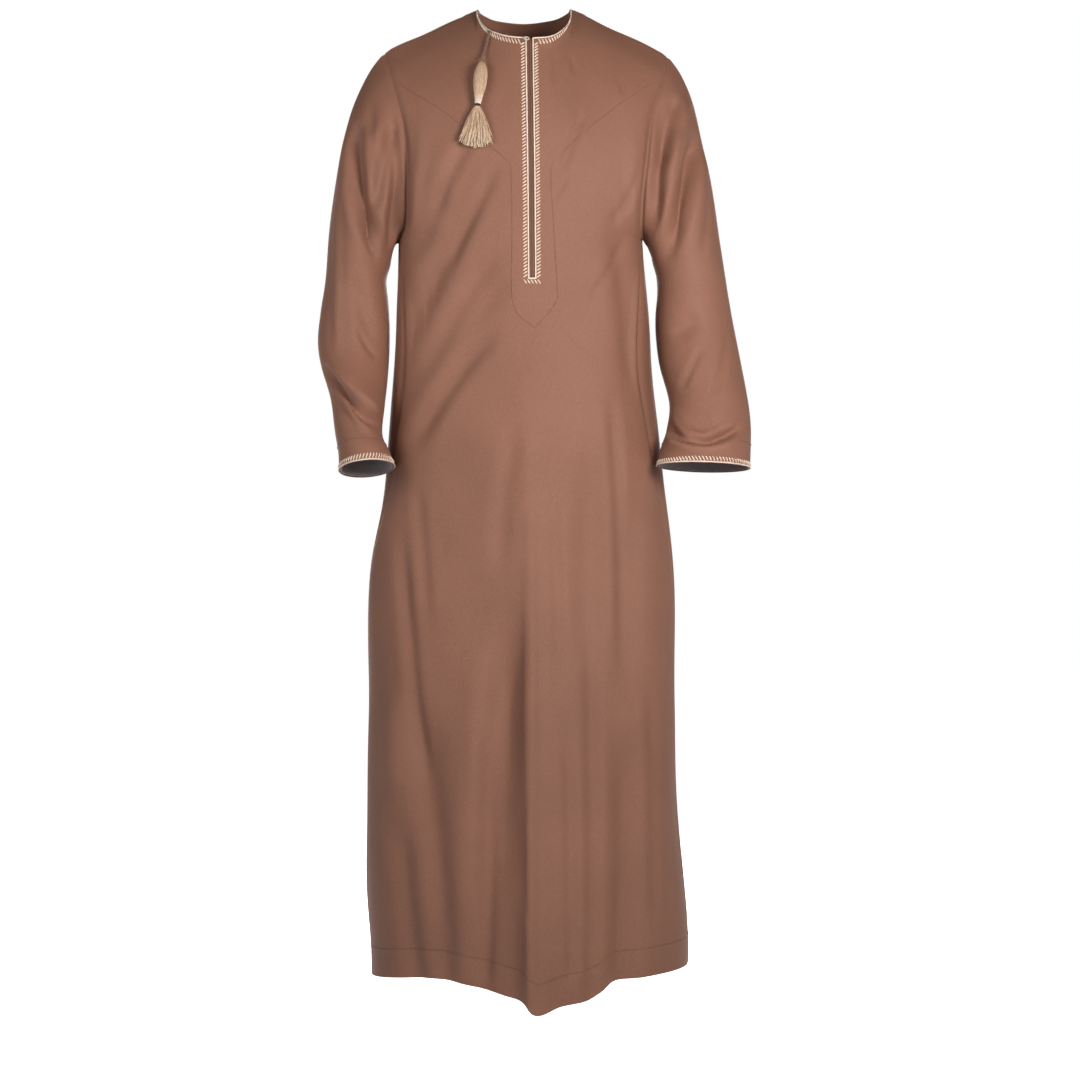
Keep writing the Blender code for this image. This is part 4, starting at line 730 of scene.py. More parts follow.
def share_at_x(places, x):
    """The share of a neck curve's length at which it passes x."""
    shares = np.linspace(*NECK_MIDDLE, LINE_STEPS)
    return np.interp(x, curve_through(places, shares)[:, 0], shares)


def body_spread(z):
    """The middle of the body and half its width at height z."""
    right = read_section("right", z)
    left = read_section("left", z)
    return (left + right) / 2, (left - right) / 2


def body_point(angle, z):
    """The body's outer surface, by the angle from the front centre and the height."""
    middle, half = body_spread(z)
    turn = np.cos(angle)
    depth = np.where(turn > 0, read_section("front", z), read_section("back", z))
    x = middle + half * np.sin(angle)
    y = depth * np.abs(turn) ** SIDE_ROUNDNESS
    crest = read_centre("x", z) - SLIT_WIDTH / 2
    reach = np.where(x < crest, RIDGE_REACH_RIGHT, RIDGE_REACH_LEFT)
    away = np.sqrt((x - crest) ** 2 + CREST_SOFTNESS ** 2) - CREST_SOFTNESS
    ridge = read_centre("ridge", z) * np.exp(-away / reach)
    y = np.where(turn > 0, y - ridge * smooth_step(turn * RIDGE_TURN), y)
    return np.stack(np.broadcast_arrays(x, y, z), -1)


def finer(values, by):
    """The values with by - 1 even steps put between each two."""
    places = np.linspace(0, len(values) - 1, (len(values) - 1) * by + 1)
    return np.interp(places, range(len(values)), values)


FINE_LEVELS = finer(ROW_LEVELS, ROWS_BY)
FINE_CHEST = finer((0.0, *CHEST_ROWS), ROWS_BY)[1:]


def front_angles(z):
    """The angles of the front panel's columns at height z, from the right side seam to the left."""
    middle, half = body_spread(z)
    centre = read_centre("x", z)
    trimmed = SLIT_WIDTH / 2 + TRIM_CELL
    offsets = np.array([-trimmed, -SLIT_WIDTH / 2, SLIT_WIDTH / 2, trimmed])
    slit = np.arcsin((centre + offsets - middle) / half)
    side_cells = SHOULDER_CELLS + NECK_CELLS
    right = np.linspace(math.radians(read_section("seam_right", z)), slit[0], side_cells + 1)
    left = np.linspace(slit[3], math.radians(read_section("seam_left", z)), side_cells + 1)
    return finer(np.concatenate([right, slit[1:3], left]), COLUMNS_BY)


def back_angles(z):
    """The angles of the back panel's columns at height z, from the left side seam round to the right."""
    start = math.radians(read_section("seam_left", z))
    end = 2 * math.pi + math.radians(read_section("seam_right", z))
    return np.linspace(start, end, (2 * SHOULDER_CELLS + BACK_NECK_CELLS) * COLUMNS_BY + 1)


def skirt_rows(angles_at, hem):
    """The panel's rows from the hem up to the armpit."""
    rows = []
    for level in FINE_LEVELS:
        angles = angles_at(level)
        x = body_point(angles, np.full(len(angles), level))[:, 0]
        right, left = sorted((x[0], x[-1]))
        across = np.clip((x - right) / (left - right), 0, 1)
        edge = smooth_read(across, [point.share for point in hem], [point.z for point in hem])
        share = np.clip((HEM_CURVE_STARTS - level) / (HEM_CURVE_STARTS - HEM_LEVEL), 0, 1)
        rows.append(body_point(angles, level + (edge - HEM_LEVEL) * share))
    return rows


def chest_rows(foot, top, edge_start, edge_end, leans, spans):
    """Rows from the armpit up to the shoulder and neck: a curve for each column, fitted to the armholes."""
    count = len(foot)
    length = np.linalg.norm(top - foot, axis=1)[:, None]
    rise = unit(np.array([[0.0, FOOT_LEAN * np.sign(-foot[count // 2, 1]), 1.0]]))
    first = foot + FOOT_SPAN * length * rise
    second = top - spans * length * unit(leans)
    fade = 1 - smooth_step(np.arange(count) / (ARMHOLE_REACH_CELLS * COLUMNS_BY))[:, None]
    rows = []
    for index, t in enumerate(FINE_CHEST):
        row = (1 - t) ** 3 * foot + 3 * t * (1 - t) ** 2 * first
        row = row + 3 * t * t * (1 - t) * second + t ** 3 * top
        start_shift = edge_start[index] - row[0]
        end_shift = edge_end[index] - row[-1]
        rows.append(row + fade * start_shift + fade[::-1] * end_shift)
    return rows


def armhole_curve(underarm, places, tip, shares):
    return curve_through((tuple(underarm), *places, tip), shares)


def top_leans(top, neck, corner, shoulder):
    """How each column arrives at the top edge, by its share of neck, neck corner and shoulder."""
    outside = np.maximum(0.0, np.abs(top[:, :1]) - SHOULDER_LEFT[0].x)
    neck_share = smooth_step(np.abs(top[:, 1:2]) / NECK_DEPTH)
    shoulder_share = smooth_step(outside / SHOULDER_REACH)
    corner_share = 1 - neck_share - shoulder_share
    mix = neck_share * np.array(neck) + corner_share * np.array(corner)
    mix = mix + shoulder_share * np.array(shoulder)
    return np.insert(mix[:, :2], 0, 0.0, axis=1), mix[:, 2:]


def front_grid():
    rows = skirt_rows(front_angles, FRONT_HEM)
    foot = rows[-1]
    centre = read_centre("x", CENTRE_LINE[0].z)
    inner = [
        share_at_x(NECK_FRONT, centre + side * (SLIT_WIDTH / 2 + extra))
        for side, extra in ((-1, TRIM_CELL), (-1, 0.0), (1, 0.0), (1, TRIM_CELL))
    ]
    neck_shares = np.concatenate([
        np.linspace(0.0, inner[0], NECK_CELLS + 1),
        inner[1:3],
        np.linspace(inner[3], 1.0, NECK_CELLS + 1),
    ])
    shoulder = np.linspace(0.0, 1.0, SHOULDER_CELLS * COLUMNS_BY + 1)
    top = np.concatenate([
        curve_through(SHOULDER_RIGHT, shoulder)[:-1],
        curve_through(NECK_FRONT, finer(neck_shares, COLUMNS_BY)),
        curve_through(SHOULDER_LEFT, shoulder)[1:],
    ])
    right = armhole_curve(foot[0], ARMHOLE_FRONT_RIGHT, SHOULDER_RIGHT[0], FINE_CHEST)
    left = armhole_curve(foot[-1], ARMHOLE_FRONT_LEFT, SHOULDER_LEFT[-1], FINE_CHEST)
    leans, spans = top_leans(top, FRONT_NECK, FRONT_CORNER, FRONT_SHOULDER)
    return np.array(rows + chest_rows(foot, top, right, left, leans, spans))


def back_grid():
    rows = skirt_rows(back_angles, BACK_HEM)
    foot = rows[-1]
    shoulder = np.linspace(1.0, 0.0, SHOULDER_CELLS * COLUMNS_BY + 1)
    top = np.concatenate([
        curve_through(SHOULDER_LEFT, shoulder)[:-1],
        curve_through(NECK_BACK, np.linspace(0.0, 1.0, BACK_NECK_CELLS * COLUMNS_BY + 1)),
        curve_through(SHOULDER_RIGHT, shoulder)[1:],
    ])
    left = armhole_curve(foot[0], ARMHOLE_BACK_LEFT, SHOULDER_LEFT[-1], FINE_CHEST)
    right = armhole_curve(foot[-1], ARMHOLE_BACK_RIGHT, SHOULDER_RIGHT[0], FINE_CHEST)
    leans, spans = top_leans(top, BACK_NECK, BACK_CORNER, BACK_SHOULDER)
    return np.array(rows + chest_rows(foot, top, left, right, leans, spans))


def sleeve_grid(rings, front_edge, back_edge, side):
    """Rows from the cuff up to the armhole. The edges run from the underarm up to the shoulder tip."""
    half_count = len(FINE_CHEST)
    rises = np.concatenate([[0.0], FINE_CHEST])
    turns = np.concatenate([1.0 - rises[::-1], 1.0 + rises[1:-1]])
    even = np.arange(2 * half_count) / half_count
    loop = np.concatenate([front_edge[::-1], back_edge[1:-1]])
    table = np.array(rings)
    rows = []
    for station in finer(SLEEVE_ROWS, SLEEVE_ROWS_BY):
        ring = Ring(*(smooth_read(station, range(len(table)), column) for column in table.T))
        even_share = min(1.0, station / SLEEVE_EVEN_RING)
        angle = math.pi * ((1 - even_share) * turns + even_share * even)
        outer_share = (1 + np.cos(angle)) / 2
        bulge = np.sign(np.sin(angle)) * np.abs(np.sin(angle)) ** SLEEVE_ROUNDNESS
        x = ring.inner_x + (ring.outer_x - ring.inner_x) * outer_share
        y = ring.inner_y + (ring.outer_y - ring.inner_y) * outer_share - ring.depth / 2 * bulge
        z = ring.inner_z + (ring.outer_z - ring.inner_z) * outer_share + ring.front_lift * np.sin(angle)
        free = np.stack([x, y, z], -1)
        hold = 1 - smooth_step(station / SLEEVE_FREE_RING)
        mixed = (1 - hold) * free + hold * loop
        near_outer = (outer_share ** 2)[:, None] * (free[0] - mixed[0])
        near_inner = ((1 - outer_share) ** 2)[:, None] * (free[half_count] - mixed[half_count])
        rows.append(loop if station == 0 else mixed + near_outer + near_inner)
    grid = np.array(rows)
    return grid if side < 0 else np.roll(grid[:, ::-1], 1, axis=1)


def fold_distance(x, z, fold, ends=TAPER_SHARE):
    """Each point's distance to the fold's line in widths, the fold's strength there, and its side."""
    start, middle, end = (np.array(point) for point in (fold.start, fold.middle, fold.end))
    control = 2 * middle - (start + end) / 2
    t = np.linspace(0, 1, FOLD_STATIONS)[:, None]
    line = (1 - t) ** 2 * start + 2 * t * (1 - t) * control + t * t * end
    away = np.stack([x, z], -1)[..., None, :] - line
    distance = np.linalg.norm(away, axis=-1)
    nearest = distance.argmin(-1)
    near = np.take_along_axis(distance, nearest[..., None], -1)[..., 0] / fold.width
    share = nearest / (len(line) - 1)
    taper = smooth_step(share / ends)
    if fold.end[1] > HEM_STITCH_LEVEL:
        taper = taper * smooth_step((1 - share) / ends)
    run = np.gradient(line, axis=0)[nearest]
    offset = np.take_along_axis(away, nearest[..., None, None], -2)[..., 0, :]
    side = np.sign(run[..., 0] * offset[..., 1] - run[..., 1] * offset[..., 0])
    return near, taper, side


def fold_height(x, z, folds):
    """How far the folds move the cloth outwards at each point."""
    height = np.zeros(x.shape)
    for fold in folds:
        near, taper, side = fold_distance(x, z, fold)
        if fold.step:
            height += fold.depth * taper * side * near * np.exp(1 - near ** 2)
        else:
            height -= fold.depth * taper * np.exp(-near ** 2)
    return height


def grid_normals(grid, closed):
    across = np.roll(grid, -1, 1) - np.roll(grid, 1, 1) if closed else np.gradient(grid, axis=1)
    upward = np.gradient(grid, axis=0)
    return unit(np.cross(across, upward))


def steps_from_side(columns):
    """For each column of a fine grid, how many columns away the nearer side is."""
    index = np.arange(columns)
    return np.minimum(index, columns - 1 - index)


def evened_below_neck(grid):
    """Softens the crease that runs down from each end of the neck line. Top row and sides stay."""
    first = ARMPIT_ROW * ROWS_BY
    side = steps_from_side(grid.shape[1]) / COLUMNS_BY
    inside = smooth_step((side - EVEN_FROM_SIDE) / EVEN_SIDE_FADE)
    rising = smooth_step((np.arange(len(grid)) - first) / (EVEN_ROWS * ROWS_BY))
    below = smooth_step(np.linalg.norm(grid - grid[-1:], axis=-1) / EVEN_DROP)
    share = below * inside[None, :] * rising[:, None]
    reach = int(EVEN_REACH * EVEN_WIDTH / EVEN_STEP)
    offsets = np.arange(-reach, reach + 1)
    weights = np.exp(-0.5 * (offsets * EVEN_STEP / EVEN_WIDTH) ** 2)
    weights /= weights.sum()
    result = grid.copy()
    for row in range(first, len(grid)):
        order = np.argsort(grid[row, :, 0])
        across = grid[row, order, 0]
        spots = np.arange(across[0], across[-1], EVEN_STEP)
        for axis in (1, 2):
            line = np.interp(spots, across, grid[row, order, axis])
            wide = np.pad(line, reach, mode="reflect", reflect_type="odd")
            even = np.convolve(wide, weights, mode="valid")
            change = np.interp(grid[row, :, 0], spots, even) - grid[row, :, axis]
            result[row, :, axis] += share[row] * change
    return result


def rows_by(closed):
    """How many fine rows stand for one row of the solids. Only the sleeves are closed."""
    return SLEEVE_ROWS_BY if closed else ROWS_BY


def edge_fade(grid, closed, cells):
    """0 on a panel's seams, rising to 1 that many of the solids' cells away."""
    rows, columns = grid.shape[:2]
    fade = np.ones((rows, columns))
    if not closed:
        fade *= smooth_step(steps_from_side(columns) / (cells * COLUMNS_BY))[None, :]
    below_top = rows - 1 - np.arange(rows)
    return fade * smooth_step(below_top / (2 * cells * rows_by(closed)))[:, None]


def seam_dip(grid, closed):
    """How far the cloth turns in along its sewn edges, less at the shoulders and not at the neck."""
    top = np.linalg.norm(grid - grid[-1:], axis=-1)
    if closed:
        return -SEAM_DIP * np.exp(-(top / SEAM_DIP_REACH) ** 2)
    side = steps_from_side(grid.shape[1]) / COLUMNS_BY
    top += smooth_step(side - SHOULDER_CELLS + 1)[None, :]
    edges = [top] + [np.linalg.norm(grid - grid[:, [end]], axis=-1) for end in (0, -1)]
    dips = [np.exp(-(edge / SEAM_DIP_REACH) ** 2) for edge in edges]
    dips[0] *= SHOULDER_DIP_SHARE
    return -SEAM_DIP * sum(dips)


Panel = namedtuple("Panel", "points inner normals closed")


def make_panel(grid, height, closed):
    normals = grid_normals(grid, closed)
    points = grid + height[..., None] * normals
    normals = grid_normals(points, closed)
    wall = np.full(grid.shape[:2], SHELL_WALL)
    if not closed:
        wall[:HEM_STITCH_ROW * ROWS_BY] = HEM_SHELL_WALL
    return Panel(points, points - wall[..., None] * normals, normals, closed)


def body_panel(grid, folds, creases, seed):
    grid = evened_below_neck(grid)
    x, z = grid[..., 0], grid[..., 2]
    height = fold_height(x, z, folds) * edge_fade(grid, False, FOLD_FREE_CELLS)
    small = crease_height(x, z, creases) + slack(x, z, seed)
    height += small * edge_fade(grid, False, CREASE_FREE_CELLS)
    return make_panel(grid, height + seam_dip(grid, False), False)


def sleeve_panel(grid, seed):
    normals = grid_normals(grid, True)
    x, z = grid[..., 0], grid[..., 2]
    front_share = smooth_step(-normals[..., 1] * SIDE_ON_FADE)
    back_share = smooth_step(normals[..., 1] * SIDE_ON_FADE)
    height = front_share * fold_height(x, z, SLEEVE_FRONT_FOLDS)
    height += back_share * fold_height(x, z, SLEEVE_BACK_FOLDS)
    height *= edge_fade(grid, True, FOLD_FREE_CELLS)
    small = front_share * crease_height(x, z, SLEEVE_FRONT_CREASES)
    small += back_share * crease_height(x, z, SLEEVE_BACK_CREASES)
    small += slack(x + SLACK_LEAN * grid[..., 1], z, seed)
    height += small * edge_fade(grid, True, CREASE_FREE_CELLS)
    cuff_rows = (CUFF_TRIM_ROW + 1) * SLEEVE_ROWS_BY
    height *= smooth_step(np.arange(grid.shape[0]) / cuff_rows)[:, None]
    return make_panel(grid, height + seam_dip(grid, True), True)


def fine_place(panel, column, row):
    return column * COLUMNS_BY, row * rows_by(panel.closed)


def panel_top(panel):
    """The solids' row at a panel's top edge."""
    return (panel.points.shape[0] - 1) // rows_by(panel.closed)


def last_column(panel):
    """The solids' column at the left side of a body panel."""
    return (panel.points.shape[1] - 1) / COLUMNS_BY


def on_cloth(panel, column, row, lift):
    """A point of the fine cloth by the solids' column and row, moved out by lift, and its normal."""
    column, row = fine_place(panel, column, row)
    rows, columns = panel.points.shape[:2]
    low_row = int(np.clip(math.floor(row), 0, rows - 2))
    low_column = math.floor(column)
    if not panel.closed:
        low_column = int(np.clip(low_column, 0, columns - 2))
    v = row - low_row
    u = column - low_column
    left, right = low_column % columns, (low_column + 1) % columns
    mix = ((1 - u) * (1 - v), u * (1 - v), (1 - u) * v, u * v)
    cells = ((low_row, left), (low_row, right), (low_row + 1, left), (low_row + 1, right))
    point = sum(share * panel.points[cell] for share, cell in zip(mix, cells))
    normal = unit(sum(share * panel.normals[cell] for share, cell in zip(mix, cells)))
    return point + lift * normal, normal


def crease_height(x, z, creases):
    """How far the small creases move the cloth outwards: a trough with a soft ridge on both sides."""
    height = np.zeros(x.shape)
    for crease in creases:
        near, taper, _ = fold_distance(x, z, crease, CREASE_ENDS)
        height -= crease.depth * taper * (1 - CREASE_RIDGE * near ** 2) * np.exp(-near ** 2)
    return height


def slack(x, z, seed):
    """Slow, shallow unevenness of the cloth: waves across and up it that bend one another."""
    waves = (
        np.sin(31 * x + 3.1 * seed + 2.2 * np.sin(9 * z + seed)),
        np.sin(19 * z - 1.7 * seed + 1.9 * np.sin(23 * x - seed)),
        np.sin(47 * x + 28 * z + seed) * np.sin(13 * z + 0.6 * seed),
    )
    return sum(depth * wave for depth, wave in zip(SLACK_DEPTHS, waves))


def stands_for(piece, slot, *nodes):
    """Hides the solids that a piece takes the place of; the piece and the slot are not used."""
    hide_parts(*nodes)


def into_scene(name, data):
    """A new object with this data, linked to the scene."""
    thing = bpy.data.objects.new(name, data)
    bpy.context.scene.collection.objects.link(thing)
    return thing


def mesh_piece(name, points, faces, material):
    mesh = bpy.data.meshes.new(name)
    mesh.from_pydata([tuple(point) for point in points], [], [tuple(face) for face in faces])
    mesh.validate()
    mesh.shade_smooth()
    mesh.set_sharp_from_angle(angle=math.radians(SHARP_ANGLE))
    mesh.materials.append(material)
    piece = into_scene(name, mesh)
    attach(piece, "root")
    return piece


def shell_mesh(name, outer, inner, closed, material, left_out=None):
    """A wall between two grids, with its edges closed. left_out marks cells that are cut away."""
    rows, columns = outer.shape[:2]
    count = rows * columns
    index = np.arange(count).reshape(rows, columns)
    after = np.roll(index, -1, 1)
    last = columns if closed else columns - 1
    a, b = index[:-1, :last], after[:-1, :last]
    c, d = after[1:, :last], index[1:, :last]
    kept = np.ones(a.shape, bool) if left_out is None else ~left_out
    quads = np.stack([a, b, c, d], -1)[kept]
    faces = [tuple(quad) for quad in quads.tolist()]
    faces += [tuple(quad) for quad in (quads[:, ::-1] + count).tolist()]
    edges = {}
    for quad in quads.tolist():
        for start, end in zip(quad, quad[1:] + quad[:1]):
            if (end, start) in edges:
                del edges[(end, start)]
            else:
                edges[(start, end)] = True
    faces += [(end, start, start + count, end + count) for start, end in edges]
    points = np.concatenate([outer.reshape(-1, 3), inner.reshape(-1, 3)])
    used = np.zeros(len(points), bool)
    used[np.unique(np.concatenate([quads.ravel(), quads.ravel() + count]))] = True
    place = np.cumsum(used) - 1
    return mesh_piece(name, points[used], [[int(place[k]) for k in face] for face in faces], material)


def cord_points(path):
    """Rings of points round a path, in the section of a twisted cord."""
    path = np.asarray(path, float)
    along = unit(np.gradient(path, axis=0))
    side = unit(np.cross(along, np.array([0.0, 1.0, 0.0])))
    out = unit(np.cross(side, along))
    angle = turned(np.arange(CORD_SIDES), CORD_SIDES)
    twist = turned(run_along(path)[:, None], CORD_TURN)
    size = CORD_RADIUS * np.ones((len(path), CORD_SIDES))
    size *= 1 - CORD_LOBE_DEPTH * (0.5 + 0.5 * np.cos(CORD_LOBES * angle[None, :] + twist))
    across = (size * np.cos(angle))[..., None] * side[:, None, :]
    outward = (size * np.sin(angle))[..., None] * out[:, None, :]
    return (path[:, None, :] + across + outward).reshape(-1, 3)


def ring_faces(stations, around, closed, start=0):
    faces = []
    for station in range(stations if closed else stations - 1):
        here = start + station * around
        there = start + ((station + 1) % stations) * around
        for k in range(around):
            after = (k + 1) % around
            faces.append((here + k, here + after, there + after, there + k))
    if not closed:
        faces.append(tuple(start + k for k in reversed(range(around))))
        faces.append(tuple(start + (stations - 1) * around + k for k in range(around)))
    return faces


def threads(name, stitches, radius, rise, mesh_size, material):
    """Many short threads as one mesh. Each stitch is its start, its end and the cloth's normal there."""
    sides, stations = mesh_size
    points, faces = [], []
    share = np.linspace(0, 1, stations)
    sunk = THREAD_SUNK * radius
    arch = np.sin(math.pi * share) * (rise + sunk) - sunk
    angle = turned(np.arange(sides), sides)
    size = radius * (THREAD_TIP + (1 - THREAD_TIP) * np.sin(math.pi * share))[:, None, None]
    for start, end, normal in stitches:
        start, end, normal = np.array(start), np.array(end), np.array(normal)
        side = unit(np.cross(unit(end - start), normal))
        middle = start + (end - start) * share[:, None] + normal * arch[:, None]
        section = np.cos(angle)[:, None] * side + np.sin(angle)[:, None] * normal
        faces += ring_faces(stations, sides, False, len(points))
        points += [tuple(point) for point in (middle[:, None, :] + size * section[None]).reshape(-1, 3)]
    return mesh_piece(name, points, faces, material)


def whip_threads(name, stitches, material):
    return threads(name, stitches, WHIP_RADIUS, WHIP_RISE, WHIP_MESH, material)


def line_threads(name, stitches, material):
    return threads(name, stitches, RUN_RADIUS, RUN_RISE, LINE_MESH, material)


def along_line(line, pitch):
    """Places every pitch along a line of points, as fractions of the point count."""
    run = run_along(line)
    return np.interp(np.arange(0.5 * pitch, run[-1], pitch), run, np.arange(len(line)))


def running_row(places, pitch=RUN_PITCH, length=RUN_LENGTH):
    """Short stitches along a line of points with normals."""
    line = np.array([point for point, _ in places])
    normals = np.array([normal for _, normal in places])
    stitches = []
    count = np.arange(len(line))
    for at in along_line(line, pitch):
        middle = np.array([np.interp(at, count, line[:, k]) for k in range(3)])
        normal = unit(np.array([np.interp(at, count, normals[:, k]) for k in range(3)]))
        low = int(min(at, len(line) - 2))
        along = unit(line[low + 1] - line[low])
        stitches.append((middle - along * length / 2, middle + along * length / 2, normal))
    return stitches


def finder(panel):
    """A tree for finding places on a panel's outer face."""
    rows, columns = panel.points.shape[:2]
    index = np.arange(rows * columns).reshape(rows, columns)
    quads = np.stack([index[:-1, :-1], index[:-1, 1:], index[1:, 1:], index[1:, :-1]], -1).reshape(-1, 4)
    return BVHTree.FromPolygons(panel.points.reshape(-1, 3).tolist(), quads.tolist())


def seen_from_front(tree, x, z):
    """The frontmost point of a surface at x and z, and its normal there."""
    point, normal, _, _ = tree.ray_cast(Vector((x, LOOK_FROM, z)), Vector((0.0, 1.0, 0.0)))
    return point, normal


def front_line(tree, spots):
    """Points on the front of a panel under a smooth line of spots."""
    shares = np.linspace(0, 1, FRONT_LINE_STATIONS)
    places = []
    for x, _, z in curve_through([(spot.x, 0.0, spot.z) for spot in spots], shares):
        point, normal = seen_from_front(tree, x, z)
        if point is not None:
            normal = normal if normal.y < 0 else -normal
            places.append((np.array(point), np.array(normal)))
    return places


def piping_bead(name, panel, path, closed, material):
    """A rounded bead on the cloth. Each station of the path is its edge and its inner place."""
    points = []
    for edge, inner in path:
        first, first_normal = on_cloth(panel, *edge, 0)
        last, last_normal = on_cloth(panel, *inner, 0)
        middle, normal = (first + last) / 2, unit(first_normal + last_normal)
        across = last - first
        for side in range(BEAD_SIDES):
            angle = turned(side, BEAD_SIDES)
            lift = PIPING_HEIGHT * (BEAD_FOOT + (1 - BEAD_FOOT) * math.sin(angle))
            points.append(middle + across * 0.5 * math.cos(angle) + normal * lift)
    return mesh_piece(name, points, ring_faces(len(path), BEAD_SIDES, closed), material)


class Looks:
    """A material's nodes, with short names for the few kinds that are used."""

    def __init__(self, name, colour, roughness):
        self.material = bpy.data.materials.new(name)
        self.material.use_nodes = True
        self.material.diffuse_color = (*colour, 1.0)
        self.tree = self.material.node_tree
        self.shader = self.tree.nodes["Principled BSDF"]
        self.shader.inputs["Roughness"].default_value = roughness
        self.shader.inputs["Specular IOR Level"].default_value = CLOTH_SPECULAR
        self.place = self.tree.nodes.new("ShaderNodeTexCoord").outputs["Object"]
        self.heights = None

    def node(self, kind, **inputs):
        node = self.tree.nodes.new(kind)
        for name, value in inputs.items():
            self.feed(node.inputs[name.replace("_", " ")], value)
        return node

    def feed(self, socket, value):
        if isinstance(value, bpy.types.NodeSocket):
            self.tree.links.new(value, socket)
        else:
            socket.default_value = value

    def scaled(self, scale, turn=0.0):
        """The place on the object, turned about Y and then scaled."""
        mapping = self.node("ShaderNodeMapping", Vector=self.place)
        mapping.inputs["Rotation"].default_value = (0.0, turn, 0.0)
        mapping.inputs["Scale"].default_value = scale
        return mapping.outputs["Vector"]

    def noise(self, scale, detail=2.0, where=None):
        found = self.node("ShaderNodeTexNoise", Vector=where or self.place, Scale=scale, Detail=detail)
        return found.outputs["Fac"]

    def waves(self, period, direction, where=None):
        """Soft stripes that repeat after period metres."""
        wave = self.node("ShaderNodeTexWave", Vector=where or self.place, Scale=WAVE_PERIOD / period)
        wave.bands_direction = direction
        return wave.outputs["Fac"]

    def ramp(self, value, low, high, low_colour, high_colour):
        ramp = self.node("ShaderNodeValToRGB", Fac=value)
        ramp.color_ramp.elements[0].position = low
        ramp.color_ramp.elements[1].position = high
        ramp.color_ramp.elements[0].color = (*low_colour, 1.0)
        ramp.color_ramp.elements[1].color = (*high_colour, 1.0)
        return ramp.outputs["Color"]

    def shades(self, value, low, high, colour, dark, pale):
        """The colour made darker where value is low and paler where it is high."""
        return self.ramp(value, low, high, scaled_colour(colour, dark), scaled_colour(colour, pale))

    def toned(self, base, value, low, high, dark, pale):
        """The base colour times a grey that follows value."""
        tone = self.ramp(value, low, high, (dark, dark, dark), (pale, pale, pale))
        return self.mixed(1.0, base, tone, "MULTIPLY")

    def mixed(self, share, first, second, blend="MIX"):
        mix = self.tree.nodes.new("ShaderNodeMix")
        mix.data_type = "RGBA"
        mix.blend_type = blend
        self.feed(mix.inputs["Factor"], share)
        self.feed(mix.inputs["A"], first)
        self.feed(mix.inputs["B"], second)
        return mix.outputs["Result"]

    def bump(self, height, depth, strength=1.0):
        """Adds a relief of this depth in metres to those already there."""
        node = self.node("ShaderNodeBump", Height=height, Distance=depth, Strength=strength)
        if self.heights is not None:
            self.feed(node.inputs["Normal"], self.heights)
        self.heights = node.outputs["Normal"]
        self.feed(self.shader.inputs["Normal"], self.heights)

    def colour(self, value):
        self.feed(self.shader.inputs["Base Color"], value)

    def sheen(self, weight, tint, roughness=0.4):
        self.shader.inputs["Sheen Weight"].default_value = weight
        self.shader.inputs["Sheen Roughness"].default_value = roughness
        self.shader.inputs["Sheen Tint"].default_value = (*tint, 1.0)


def scaled_colour(colour, by):
    return tuple(min(1.0, channel * by) for channel in colour)


def suiting_looks(name, colour):
    """Smooth suiting: a fine twill with uneven dye and a little soft wrinkling."""
    looks = Looks(name, colour, roughness=0.68)
    base = looks.shades(looks.noise(7.0, detail=4.0), 0.30, 0.72, colour, dark=0.92, pale=1.07)
    grain = looks.noise(900.0, where=looks.scaled((1.0, 1.0, 0.35)))
    looks.colour(looks.toned(base, grain, 0.35, 0.65, dark=0.90, pale=1.06))
    twill = looks.waves(TWILL_PERIOD, "X", looks.scaled((1.0, 1.0, 1.0), math.radians(TWILL_SLANT)))
    looks.bump(looks.noise(38.0, detail=3.0), depth=0.0011, strength=0.5)
    looks.bump(twill, depth=0.00012, strength=0.35)
    looks.bump(grain, depth=0.00010, strength=0.5)
    looks.sheen(0.06, tint=(1.0, 0.66, 0.54))
    return looks.material


def cord_looks(name, colour, period, roughness=0.5):
    """Wound or corded thread with a fine slanting twist."""
    looks = Looks(name, colour, roughness)
    twist = looks.waves(period, "DIAGONAL")
    lay = looks.noise(420.0)
    base = looks.shades(twist, 0.1, 0.9, colour, dark=0.78, pale=1.08)
    looks.colour(looks.toned(base, lay, 0.3, 0.7, dark=0.90, pale=1.04))
    looks.bump(twist, depth=0.00035, strength=0.8)
    looks.bump(lay, depth=0.00012, strength=0.6)
    looks.sheen(0.3, tint=(1.0, 0.95, 0.9))
    return looks.material


def facing_looks(name):
    """Grey lining with a fine even repeat of small dots."""
    looks = Looks(name, LINING_GREY, roughness=0.6)
    dots = looks.node("ShaderNodeTexVoronoi", Vector=looks.place, Scale=420.0, Randomness=0.15)
    spots = looks.ramp(dots.outputs["Distance"], 0.18, 0.34, LINING_DOT, LINING_GREY)
    looks.colour(looks.toned(spots, looks.noise(30.0, detail=3.0), 0.3, 0.7, dark=0.88, pale=1.08))
    looks.bump(dots.outputs["Distance"], depth=0.0002, strength=0.5)
    looks.sheen(0.2, tint=(0.9, 0.9, 1.0))
    return looks.material


def silk_looks(name, colour, lower_colour, paler, roughness):
    """Silky threads that run downwards and turn to lower_colour between the two heights of paler: a painted
    highlight at the tassel head's lower end, and paler tips on the fringe.
    """
    looks = Looks(name, colour, roughness)
    lengths = looks.noise(1.0, where=looks.scaled((1500.0, 1500.0, 45.0)))
    streaks = looks.shades(lengths, 0.32, 0.70, colour, dark=0.62, pale=1.22)
    split = looks.node("ShaderNodeSeparateXYZ", Vector=looks.place)
    # The share of the way into lower_colour: the head's painted highlight, or the fringe's paler tips.
    tip = looks.node("ShaderNodeMapRange", Value=split.outputs["Z"], From_Min=paler[0], From_Max=paler[1])
    looks.colour(looks.mixed(tip.outputs["Result"], streaks, (*lower_colour, 1.0)))
    looks.bump(lengths, depth=0.0003, strength=0.7)
    looks.sheen(0.25, tint=(1.0, 0.9, 0.8), roughness=0.3)
    looks.shader.inputs["Specular IOR Level"].default_value = SILK_SPECULAR
    return looks.material


